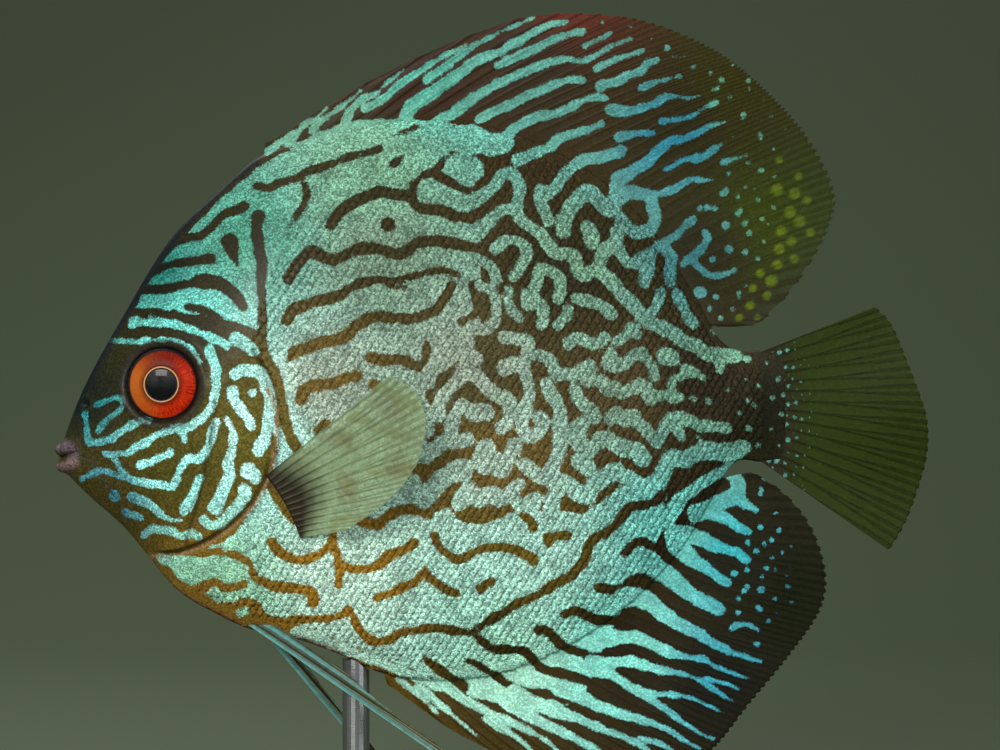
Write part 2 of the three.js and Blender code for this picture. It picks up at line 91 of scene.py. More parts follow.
fishBody = {
    "back": [(-78.9, 81.4), (-77.8, 85.1), (-74.7, 92.7), (-69, 103.2), (-59.4, 119), (-50.2, 128.2),
             (-42.5, 134.6), (-28, 139.3), (-13.4, 141.4), (1.3, 139.6), (16, 133.1), (28, 122.7),
             (37.1, 108.9), (41, 101.6), (44.5, 98.9), (49, 98.8)],
    "belly": [(-78.9, 77.2), (-78, 75.9), (-74.3, 72.1), (-67.9, 66.4), (-64, 61.8), (-57.9, 54.6),
              (-50, 49.8), (-44.3, 47.3), (-35.5, 45.4), (-28.1, 42.7), (-20.8, 39.4), (-13.4, 37.9),
              (-6.1, 37.9), (1.3, 39.2), (8.6, 41.7), (16, 45.4), (23.4, 50.6), (29.8, 56.5),
              (35.3, 63.3), (39.5, 70.3), (42.5, 75.8), (45, 78.4), (49, 78.2)],
    "width": [(-78.9, 0.16), (-78, 0.27), (-74, 0.41), (-68, 0.57), (-60, 0.75), (-50, 0.91), (-40, 0.985),
              (-28, 1), (-14, 0.95), (0, 0.85), (14, 0.7), (26, 0.53), (36, 0.37), (44, 0.26), (49, 0.22)],
    "halfWidth": 14.0,
    "ridgeHalf": 1.5,  # half the thickness of the back and the belly
    "widestHeight": -0.1,  # from the middle, where 1 is the back and -1 the belly
    "flankPower": 2.1,
    "flankRound": 0.85,
    "frontX": -78.9,
    "rearX": 49.0,
}
backHeight = curveThrough(fishBody["back"])
bellyHeight = curveThrough(fishBody["belly"])
widthShare = curveThrough(fishBody["width"])


def halfWidth(x, z):
    # ridge + (W - ridge) * (1 - a^power)^round
    # a is the height from the widest place, 1 at the back or the belly
    top, bottom = backHeight(x), bellyHeight(x)
    t = (2 * z - top - bottom) / (top - bottom)
    widest = fishBody["widestHeight"]
    away = np.where(t < widest, (widest - t) / (1 + widest), (t - widest) / (1 - widest))
    fullness = np.maximum(0, 1 - np.clip(away, 0, 1) ** fishBody["flankPower"]) ** fishBody["flankRound"]
    full = fishBody["halfWidth"] * widthShare(x)
    ridge = np.minimum(fishBody["ridgeHalf"], full * 0.6)
    return ridge + (full - ridge) * fullness


def flankNormal(x, z, side):
    # the outward direction of the flank, from the slopes of halfWidth
    step = 0.2
    slopeX = (halfWidth(x + step, z) - halfWidth(x - step, z)) / (2 * step)
    slopeZ = (halfWidth(x, z + step) - halfWidth(x, z - step)) / (2 * step)
    normal = np.stack([-slopeX, side * np.ones_like(slopeX), -slopeZ], axis=-1)
    return normal / np.linalg.norm(normal, axis=-1, keepdims=True)


def onFlank(x, z, side):
    # the flank's surface, whose y is the half width on that side
    return np.stack([x, side * halfWidth(x, z), z], axis=-1)


# Meshes from grids of points

def addMesh(name, points, faces):
    # points in mm as an n by 3 array, faces as a list of arrays, each k faces by the corners of each
    mesh = bpy.data.meshes.new(name)
    mesh.vertices.add(len(points))
    mesh.vertices.foreach_set("co", (np.asarray(points) * mm).astype(np.float32).ravel())
    corners = np.concatenate([f.ravel() for f in faces]).astype(np.int32)
    sizes = np.concatenate([np.full(len(f), f.shape[1]) for f in faces]).astype(np.int32)
    starts = np.concatenate([[0], np.cumsum(sizes)[:-1]]).astype(np.int32)
    mesh.loops.add(len(corners))
    mesh.loops.foreach_set("vertex_index", corners)
    mesh.polygons.add(len(sizes))
    mesh.polygons.foreach_set("loop_start", starts)
    mesh.polygons.foreach_set("use_smooth", np.ones(len(sizes), bool))
    mesh.update(calc_edges=True)
    piece = bpy.data.objects.new(name, mesh)
    bpy.context.scene.collection.objects.link(piece)
    return piece


def facesOutward(points, faces):
    # turns every face round where the volume that they enclose comes out negative
    volume = 0.0
    for f in faces:
        corner = points[f]
        for k in range(1, f.shape[1] - 1):
            volume += np.einsum("ij,ij->", corner[:, 0], np.cross(corner[:, k], corner[:, k + 1]))
    return [f[:, ::-1] for f in faces] if volume < 0 else faces


def gridFaces(rows, columns, wrap=False):
    # quads between each point, the next in its row and the two beside them in the next row
    index = np.arange(rows * columns).reshape(rows, columns)
    beside = np.roll(index, -1, axis=1) if wrap else index[:, 1:]
    here = index if wrap else index[:, :-1]
    return np.stack([here[:-1], beside[:-1], beside[1:], here[1:]], axis=-1).reshape(-1, 4)


def setValue(piece, name, value, kind="FLOAT"):
    # one value a point, as a number or as a colour
    attribute = piece.data.attributes.new(name, kind, "POINT")
    if kind == "FLOAT_COLOR":
        full = np.ones((len(value), 4), np.float32)
        full[:, :3] = value
        attribute.data.foreach_set("color", full.ravel())
    elif kind == "FLOAT_VECTOR":
        attribute.data.foreach_set("vector", np.asarray(value, np.float32).ravel())
    else:
        attribute.data.foreach_set("value", np.asarray(value, np.float32).ravel())


def paintMarks(piece, mark, brown, turquoise):
    # what the skin's material reads: which of the two colours shows at a point, and the two colours there
    setValue(piece, "marking", mark)
    setValue(piece, "brown", brown, "FLOAT_COLOR")
    setValue(piece, "turquoise", turquoise, "FLOAT_COLOR")


def setUnwrap(piece, uv):
    # uv holds one place a point, and each face corner takes its point's
    corners = np.empty(len(piece.data.loops), np.int32)
    piece.data.loops.foreach_get("vertex_index", corners)
    layer = piece.data.uv_layers.new(name="OFBake")
    layer.data.foreach_set("uv", np.asarray(uv, np.float32)[corners].ravel())


def gridUnwrap(u, v):
    # every u with every v, in the order of a grid's points
    return np.stack(np.meshgrid(u, v, indexing="ij"), axis=-1).reshape(-1, 2)


def finish(piece, slot, *nodes):
    # every piece rides on the one still body
    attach(piece, "root")
    if nodes:
        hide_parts(*nodes)
    return piece


# Colours

def linear(red, green, blue):
    # screen values of 0 to 255 as linear light
    c = np.array([red, green, blue]) / 255
    return np.where(c < 0.04045, c / 12.92, ((c + 0.055) / 1.055) ** 2.4)


def opaque(colour):
    # a screen colour as a shader takes it
    return (*linear(*colour), 1)


def lay(colour, over, share):
    # a colour laid over others by a share of 0 to 1 at each point
    return over * (1 - share[..., None]) + linear(*colour) * share[..., None]


skinColours = {
    # place (x, z), the brown between the markings, the turquoise of the markings; partly the fish's own
    # colours and partly painted light and shade, lighter toward the cheek, belly and lower flank and darker
    # toward the forehead, nape and back
    "forehead": ((-62, 113), (16, 18, 8), (26, 102, 92)),
    "snout": ((-74, 90), (22, 28, 18), (24, 112, 114)),
    "chin": ((-70, 72), (62, 56, 24), (56, 120, 136)),
    "cheek": ((-58, 78), (72, 68, 22), (150, 228, 220)),
    "brow": ((-56, 102), (36, 34, 12), (104, 196, 184)),
    "gillCover": ((-44, 84), (88, 82, 26), (174, 230, 220)),
    "nape": ((-44, 118), (34, 32, 12), (64, 128, 108)),
    "back": ((-22, 132), (40, 38, 14), (104, 148, 120)),
    "upperFlank": ((-20, 116), (46, 42, 16), (104, 130, 108)),
    "midFlank": ((-4, 96), (74, 70, 42), (138, 152, 134)),
    "behindGill": ((-30, 92), (102, 84, 38), (142, 156, 138)),
    "maze": ((14, 114), (44, 40, 22), (106, 144, 118)),
    "tailRoot": ((40, 92), (42, 36, 22), (104, 148, 122)),
    "tailEnd": ((51, 86), (26, 26, 12), (84, 132, 112)),
    "rearFlank": ((22, 90), (76, 66, 40), (120, 150, 128)),
    "centreLow": ((2, 78), (104, 88, 46), (160, 184, 166)),
    "lowerFlank": ((6, 62), (104, 88, 30), (170, 220, 202)),
    "belly": ((-28, 58), (150, 112, 34), (188, 224, 204)),
    "throat": ((-50, 56), (124, 96, 36), (142, 198, 164)),
    "analFront": ((2, 44), (52, 44, 16), (166, 226, 200)),
    "analRoot": ((34, 66), (40, 32, 16), (112, 200, 188)),
    "analMiddle": ((24, 44), (34, 28, 12), (126, 212, 196)),
    "analRear": ((44, 62), (26, 28, 16), (56, 164, 172)),
    "analTips": ((42, 38), (22, 22, 12), (60, 158, 176)),
    "analEdge": ((56, 52), (20, 24, 3), (46, 116, 140)),
    "dorsalFront": ((-14, 150), (44, 24, 8), (78, 160, 142)),
    "dorsalCrest": ((12, 164), (88, 28, 4), (86, 154, 136)),
    "dorsalUpper": ((6, 153), (42, 30, 12), (82, 148, 134)),
    "dorsalMiddle": ((10, 146), (42, 34, 14), (82, 144, 132)),
    "dorsalRear": ((34, 138), (36, 32, 8), (40, 118, 138)),
    "dorsalRearLow": ((38, 116), (36, 34, 14), (58, 118, 122)),
    "dorsalEdge": ((46, 148), (50, 48, 2), (96, 160, 130)),
    "dorsalTail": ((54, 124), (48, 60, 1), (84, 140, 90)),
}


colourReach = 3  # mm within which a place's colours hardly fade


def coloursAt(x, z):
    # every place's colours, mixed by 1 / (reach^2 + distance^2)^1.5
    x, z = np.ravel(x), np.ravel(z)
    dark, light, total = np.zeros((x.size, 3)), np.zeros((x.size, 3)), np.zeros(x.size)
    for (placeX, placeZ), brown, turquoise in skinColours.values():
        weight = 1 / (colourReach**2 + (x - placeX) ** 2 + (z - placeZ) ** 2) ** 1.5
        dark += weight[:, None] * linear(*brown)
        light += weight[:, None] * linear(*turquoise)
        total += weight
    return dark / total[:, None], light / total[:, None]


accents = {
    # a line over the skin: its places, its colour, its half width and how strongly it covers
    "gillMembrane": ([(-40.4, 92), (-38.9, 88), (-38.8, 83), (-39.8, 77.4), (-42.1, 72.2), (-45.8, 68),
                      (-50.8, 64.4), (-56.5, 62), (-63, 60.9)], (150, 122, 84), 0.42, 0.75),
    "gillShadow": ([(-43.2, 99), (-40, 94), (-38.4, 88), (-38.2, 83), (-39.1, 77.2), (-41.5, 71.8),
                    (-45.2, 67.4)], (40, 26, 14), 0.32, 0.6),
    # the cheek crease's dark line is painted shade in the crease
    "cheekCrease": ([(-49.8, 90), (-50.4, 84), (-51.6, 77.5), (-53.4, 70.5), (-55.6, 64)],
                    (40, 36, 18), 0.34, 0.7),
    "jawLine": ([(-75.4, 79.4), (-72.6, 77.6), (-70.8, 74.6), (-68.4, 71.6), (-66.4, 67.4)],
                (46, 60, 62), 0.28, 0.4),
    "lateralLine": ([(-34, 110.4), (-24, 112.6), (-12, 112), (0, 109.4), (12, 106)],
                    (50, 40, 34), 0.14, 0.55),
    "lateralLineRear": ([(7, 94.6), (14, 92.8), (22, 90.8), (34, 87.4), (46, 85.8)],
                        (60, 44, 40), 0.16, 0.6),
    "foreheadMargin": ([(-76.6, 88.6), (-74.4, 93.8), (-69, 103.6), (-59.4, 119.2), (-50.2, 128.6),
                        (-44, 133.8)], (10, 20, 26), 1.5, 0.92),
    "upperLip": ([(-80, 81.4), (-78, 81), (-76.6, 80)], (96, 84, 92), 1.3, 0.75),
    "lowerLip": ([(-79.4, 77.2), (-77.8, 77.4), (-76.4, 78.2)], (112, 92, 92), 1.1, 0.75),
    # painted shade in the two nostril pits
    "nostrilPitShade": ([(-74.8, 88.8), (-73.8, 88.8)], (18, 22, 22), 0.7, 0.8),
    "secondNostrilPitShade": ([(-73, 91.6), (-72.8, 91.9)], (16, 20, 20), 0.45, 0.7),
    "bellyKeel": ([(-58, 54.2), (-50, 49.8), (-44.3, 47.3), (-35.5, 45.6), (-28.1, 43.2)],
                  (120, 84, 58), 0.9, 0.7),
}


def withAccents(x, z, dark, light):
    # each accent covers both colours by exp(-(distance / half width)^4)
    for places, colour, half, strength in accents.values():
        xs, zs = np.array(places, float).T
        reach = 2 * half + 0.5
        near = (x > xs.min() - reach) & (x < xs.max() + reach)
        near &= (z > zs.min() - reach) & (z < zs.max() + reach)
        off, _ = besideLine(x[near], z[near], lineThrough(places), 60)
        share = strength * np.exp(-(off / half) ** 4)
        dark[near] = lay(colour, dark[near], share)
        light[near] = lay(colour, light[near], share)
    eyeX, eyeZ = head["eye"]
    fromEye = np.hypot(x - eyeX, z - eyeZ)
    for radius, colour, half, strength in head["lidRings"]:
        share = strength * np.exp(-((fromEye - radius) / half) ** 4)
        dark = lay(colour, dark, share)
        light = lay(colour, light, share)
    return dark, light


# The markings, painted once on a flat grid of the fish seen from its side

paintGrid = {
    "step": 0.3,
    "low": (-84.0, 12.0),
    "high": (84.0, 166.0),
    "reach": 1.6,  # how far from its edge a marking's value still changes
    "margin": 0.4,
    # what is added to the half widths of the pale lines whose names start so
    "fatter": {"net": 0.28, "maze": 0.2, "anal": 0.12, "gill": 0.1, "dorsal": 0.1},
    "wobble": 0.12,
    "wobbleSize": 1.3,
    "seed": 11,
    "rightWarp": (1.6, 1.3),  # how far the right side's markings wander from the left side's
    "rightWave": (9, 11),  # and over what lengths
}

# the pale ground of the shoulder, the front flank and the belly, which dark lines cross
# all else is dark ground
paleGround = [
    (-66.4, 104.2), (-62.6, 111.6), (-57.8, 118), (-50.4, 125.8), (-43, 132), (-37, 135.6), (-33, 138.6),
    (-27, 140.6), (-20.6, 141.4), (-15, 141), (-10, 140.6), (-3.6, 139.6), (-3, 134), (-2.4, 128),
    (-2, 120), (-2, 110), (-2, 103), (-4.5, 100), (-8, 97.6), (-10.4, 94), (-10.6, 88), (-10.8, 83),
    (-12.4, 78), (-13.2, 72), (-12, 70.3), (-9.6, 70.6), (-6, 69.6), (-1, 68.6), (2, 69.2), (4.6, 69.6),
    (8, 69.6), (11, 70), (14, 69.4), (16.4, 68.8), (18.8, 70.6), (22.6, 73.6), (26, 75), (29.6, 76),
    (31.5, 76), (31.5, 68), (30, 64), (27.5, 58), (24, 52), (21, 46), (19, 41), (17, 36), (14, 33.6),
    (8, 32.6), (2, 33.4), (-4, 35.2), (-9, 37.6), (-15, 40.6), (-21, 42.8), (-24, 44.2), (-30, 46.2),
    (-34, 48), (-37, 49.8), (-41, 50.6), (-45, 52.6), (-50, 53), (-54, 54.4), (-57.6, 57.4), (-60, 61.2),
    (-52, 62.6), (-46.5, 65), (-41.6, 71), (-39, 78), (-38.2, 84), (-38, 90), (-39.4, 97), (-41, 101),
    (-46, 103.6), (-52, 105), (-58, 106),
]

# each line is its half width at its start and at its end, and the places that it runs through
darkLines = {
    "forehead1": (0.9, 0.9, [(-59.6, 117.7), (-56.3, 119.1), (-53.4, 119.7), (-51.2, 121.1), (-49.5, 123),
        (-47.5, 123.9), (-45, 125)]),
    "forehead2": (0.9, 0.9, [(-61.9, 113.2), (-59.1, 114.3), (-56.3, 114.6), (-53.4, 115),
        (-50.9, 115.2)]),
    "foreheadWedge": (1.7, 0.3, [(-47.7, 118.3), (-46.9, 116.3), (-46.1, 113.7)]),
    "forehead3": (0.9, 0.9, [(-64.2, 109.8), (-60.2, 109.8), (-56.3, 110.4), (-52.9, 111.2)]),
    "foreheadPatch": (1.4, 1.0, [(-53.4, 111.2), (-50.6, 111), (-48.2, 110), (-46.4, 108.4),
        (-45, 106.7)]),
    "browDark": (0.8, 0.7, [(-67.5, 105.3), (-64.7, 105.6), (-61.3, 105.8), (-57.9, 105), (-54.6, 104.4),
        (-51.7, 103.6), (-48.9, 102.5), (-47.2, 101.6)]),
    "browBranch": (0.8, 0.8, [(-55.1, 106.4), (-52.9, 106.1), (-50.6, 105), (-48.4, 103.6), (-46.1, 102.7),
        (-43.8, 102.2), (-41.3, 101.6)]),
    "napeBar": (1.15, 0.9, [(-42.4, 123), (-42.7, 121.1), (-42.4, 118.3), (-41.9, 115.4), (-41.7, 112.6),
        (-41.6, 109.8), (-41.4, 107), (-41.3, 104.2), (-41.3, 101.3)]),
    "backLine": (0.9, 0.7, [(-43.2, 128.6), (-40.9, 128.3), (-38.4, 129.3), (-35.2, 130.1), (-33.6, 131.3),
        (-30.7, 132.1), (-27.5, 133.4), (-24.3, 134.4), (-20.8, 135.4), (-19.2, 136.5), (-16.6, 138.2),
        (-14.3, 139.5)]),
    "shoulderHook": (0.8, 0.6, [(-34.2, 128.8), (-33.6, 126.9), (-34.2, 125.3), (-35.5, 123),
        (-36.8, 121.1)]),
    "shoulder1": (1.1, 1.1, [(-29.1, 121.4), (-27.5, 123.7), (-24.9, 125.6), (-22.4, 126.7), (-20.1, 127.5),
        (-17.6, 126.9), (-15, 126.5), (-14, 124.9), (-11.8, 124.3), (-8.9, 123.8), (-6.3, 122.7),
        (-3.8, 122.9), (-1.5, 124), (0.1, 125.3)]),
    "shoulderLoop": (0.7, 0.7, [(-14.7, 127.5), (-14.7, 128.8), (-12.7, 130.4), (-10.5, 131.3),
        (-9.2, 132.9), (-7.6, 134.6), (-5.1, 135), (-2.5, 134.2), (0.1, 133.3)]),
    "shoulderArc": (0.9, 0.8, [(-9.5, 130.1), (-7.3, 128.8), (-5.1, 127.8), (-3.4, 127.8), (-2.5, 129.1)]),
    "underDorsal": (0.8, 0.6, [(-18, 132.8), (-15.9, 133.6), (-14, 134.4), (-12.1, 135.5), (-9.9, 137.4),
        (-7.6, 139), (-4.6, 140.6)]),
    "shoulder2": (1.1, 1.1, [(-36.8, 111.5), (-35.5, 113.7), (-33.9, 115.6), (-32.6, 116.6), (-31, 115.6),
        (-29.1, 114.8), (-27.2, 115.5), (-24.9, 116.6), (-22.4, 117.1), (-20.4, 116.8), (-18.2, 116.1),
        (-15.9, 116.3), (-14, 117.9), (-11.8, 118.4), (-8.6, 118.2), (-5.4, 117.6), (-3.1, 116.9),
        (-1.2, 117.6)]),
    "shoulder3": (1.2, 0.6, [(-36.8, 104.1), (-36.1, 105.7), (-34.2, 106.5), (-32, 107.3), (-29.4, 107.9),
        (-27.2, 108.6), (-25.6, 109.9), (-23.6, 110.7), (-20.8, 111.3), (-18.2, 111), (-15.6, 111.5),
        (-14, 112.1), (-11.8, 112.6), (-9.2, 113.1), (-6.3, 112.3)]),
    "shoulder3Under": (0.6, 0.4, [(-18.2, 110), (-14.7, 109.9)]),
    "flank1": (1.2, 0.9, [(-35.4, 98.2), (-33.6, 99), (-30.7, 100.1), (-28.1, 100.4), (-25.9, 101.5),
        (-24.3, 103.1), (-22.4, 104.4), (-19.8, 104.7), (-16.9, 104.4), (-14, 104.4), (-11.8, 105.1),
        (-9.5, 106.7), (-8.3, 108.6), (-7.5, 110.4)]),
    "flank1Hook": (1.0, 0.8, [(-3.6, 110.4), (-2.8, 106.7), (-3.1, 105.1), (-5.7, 103.8)]),
    "flank2": (1.1, 1.0, [(-22, 97.3), (-19.5, 96.8), (-17, 97), (-15, 96.2), (-12.5, 95.5)]),
    "flank2Up": (0.9, 0.7, [(-11.8, 99.6), (-12, 97.6), (-12.4, 95.6)]),
    "flank3": (1.1, 1.0, [(-34.2, 89.9), (-33.6, 91.8), (-31, 92.4), (-28.6, 92.6), (-26, 93.8),
        (-24, 94.2)]),
    "flank4": (0.8, 1.0, [(-31.6, 84.2), (-29.8, 85.4)]),
    "behindGill": (0.7, 1.0, [(-41, 97.6), (-39.4, 95.8), (-38.4, 93), (-37.8, 90), (-37.4, 87.4),
        (-36.8, 84.8), (-35.8, 82.4), (-34.6, 80.2)]),
    "besideFin": (0.7, 0.7, [(-11.6, 92), (-11.2, 90), (-10.9, 88)]),
    "underFin1": (1.0, 1.1, [(-21.4, 92.4), (-19, 91.2), (-16.6, 90), (-14.2, 88.6)]),
    "underFin2": (1.0, 1.0, [(-25.4, 86.6), (-23, 86.4), (-20.6, 84.4), (-18, 83.8), (-15.4, 83)]),
    "underFin3": (0.9, 0.7, [(-27, 82.6), (-25.6, 81.6)]),
    "underFin4": (1.0, 1.4, [(-28.6, 78), (-27, 75.4), (-25.4, 73.6)]),
    "underFin5": (0.9, 1.1, [(-22.2, 77.8), (-20.4, 76.4), (-18.2, 77), (-15, 77.4), (-12.4, 77.4),
        (-10.4, 78.4)]),
    "finRoot": (1.6, 1.1, [(-39.6, 75.6), (-38.4, 73), (-37, 70.4), (-35.4, 68)]),
    "belly1": (0.7, 1.2, [(-28.8, 64.6), (-28.6, 66.8), (-27.6, 68.2), (-25.5, 68.6), (-23, 67.8),
        (-20.6, 67.5), (-18.5, 68.9), (-16.3, 70), (-13.8, 69.9), (-11.6, 69.4)]),
    "belly1Rear": (1.2, 1.2, [(-10, 70.8), (-7.6, 71.8), (-6.2, 69.8), (-4, 68.5), (-1, 68.9),
        (1.5, 69.5)]),
    "belly2": (1.0, 0.9, [(-14.2, 64), (-15.6, 62.8), (-17.8, 62.1), (-20, 60.6), (-22, 59.3),
        (-24.6, 59.3), (-27, 59.8)]),
    "belly2Drop": (0.9, 0.8, [(-28.6, 63.4), (-27.9, 61.4), (-27.7, 58.6), (-27.9, 56.2)]),
    "belly3": (1.0, 0.7, [(-40, 64.3), (-38.7, 62.4), (-36.7, 61.3), (-34, 60.9), (-31.7, 61.7), (-30, 63),
        (-28.7, 64.6)]),
    "belly4": (0.6, 1.2, [(-44.3, 61), (-43.6, 59.2), (-43, 57.4), (-41.3, 56.6), (-39.3, 55.8),
        (-36.7, 55.6), (-34, 55.2), (-32.6, 54.3), (-32.7, 53.2)]),
    "belly5": (0.9, 0.7, [(-54.3, 54.9), (-52.3, 55.8), (-50.3, 56.6), (-48.7, 55.5), (-46.7, 55.7),
        (-45.3, 56.3)]),
    "belly6": (0.8, 0.7, [(-47.7, 51.4), (-46.7, 52.4), (-45, 52.9), (-43.3, 52.3), (-42.7, 51.3)]),
    "underGill": (0.8, 0.8, [(-62, 61.4), (-57, 62.2), (-53, 61.9), (-49.6, 62.3), (-46.4, 61.6),
        (-44.4, 60.4)]),
    "bellySweep": (0.8, 1.0, [(-36.7, 49.7), (-33.3, 49.7), (-30, 50), (-27.3, 50.7), (-26, 51.6),
        (-25.3, 50.2), (-24.7, 48.3), (-23.3, 46.7), (-21.3, 45.6), (-19, 46.1), (-16.7, 47.3), (-13.3, 48),
        (-10, 48.3), (-7.1, 47.7), (-3.6, 47.5), (-2.4, 48.3), (-0.8, 49.5), (1.2, 50.6), (3.3, 52),
        (5.4, 53.2), (7.5, 54), (9.5, 55.1), (11.6, 56.5), (13.7, 57.6), (15.4, 59.2), (16.8, 61.2),
        (17.2, 63.1), (18.5, 64.7), (20.4, 65.5), (21.7, 66.4), (23.3, 68.3), (24.9, 70.1), (26.8, 70.6),
        (28.8, 70.9), (30.4, 72.1), (31.3, 74.2), (32.2, 75.9), (34.2, 76), (35.8, 76.9), (38.4, 77.6),
        (41.6, 78.2)]),
    "belly7": (0.9, 0.8, [(-21, 53.9), (-18.6, 54.8), (-16.2, 55.9), (-14, 56.9), (-12.4, 58.3),
        (-11.2, 57.4), (-9.4, 56), (-7.6, 55), (-6.6, 54.8)]),
    "belly7Up": (0.6, 0.3, [(-12.4, 58.3), (-12.3, 59.7)]),
    "belly8": (0.9, 1.0, [(-2.4, 55.6), (-0.4, 56.8)]),
    "belly9": (0.7, 1.0, [(-10.6, 65.4), (-10, 63.8), (-8.4, 62.2), (-6.4, 61), (-4.6, 61.6), (-2.4, 62.7),
        (0, 63), (2.4, 63), (4.6, 62.4), (6.6, 61.4), (7.4, 60.6)]),
    "belly10": (0.8, 1.0, [(10.2, 63.6), (9.9, 64.8), (11.4, 65), (13.6, 65.1)]),
    "belly11": (0.8, 1.0, [(5.6, 68.8), (6.8, 67.6), (7.2, 66.6)]),
    "rear1": (0.8, 1.0, [(-3.2, 47), (-0.5, 44.7), (2.4, 44.1), (4.8, 44), (6.6, 43), (8.2, 40.8),
        (10.2, 39.9), (13.7, 39), (17.2, 38.1), (20.6, 36)]),
    "rear2": (0.9, 1.0, [(8.2, 47.8), (9.9, 47.5), (11.6, 45.7), (13.7, 44.1), (16.5, 43), (19.2, 42.4),
        (22, 42.5), (24.8, 43.6)]),
    "rear3": (0.8, 1.1, [(13, 50.6), (15.1, 51.2), (17.2, 50.3), (19.6, 49.3), (22.7, 49.1),
        (25.5, 49.2)]),
    "rear4": (0.9, 1.1, [(19.4, 55.4), (21.3, 55.1), (23.7, 55.3), (25.1, 56.5), (26.8, 57.2), (28.2, 56.1),
        (30.7, 54.4)]),
    "rear5": (0.9, 1.1, [(24, 61.7), (25.4, 63.1), (27.2, 63.8), (29, 62.8), (30.8, 61), (33.6, 58.7)]),
    "rear6": (0.8, 1.0, [(31.5, 66), (33.3, 66.8), (35.6, 67.6)]),
    "analRoot1": (0.6, 1.1, [(-4.7, 42.3), (-2.6, 41.2), (-0.2, 39.5), (2.3, 37.8), (4.7, 36.5),
        (7.5, 35.7), (10.2, 35.6), (12.7, 34.8), (15.1, 34.3), (17.2, 32.8)]),
    "analRoot2": (0.5, 1.5, [(-12.6, 42.6), (-10.9, 41.2), (-9.2, 39.8), (-7.4, 38.6), (-6.2, 37)]),
    "analRoot3": (0.8, 0.9, [(-16.6, 40), (-14.6, 39.4), (-13, 38.2), (-11.8, 37)]),
}

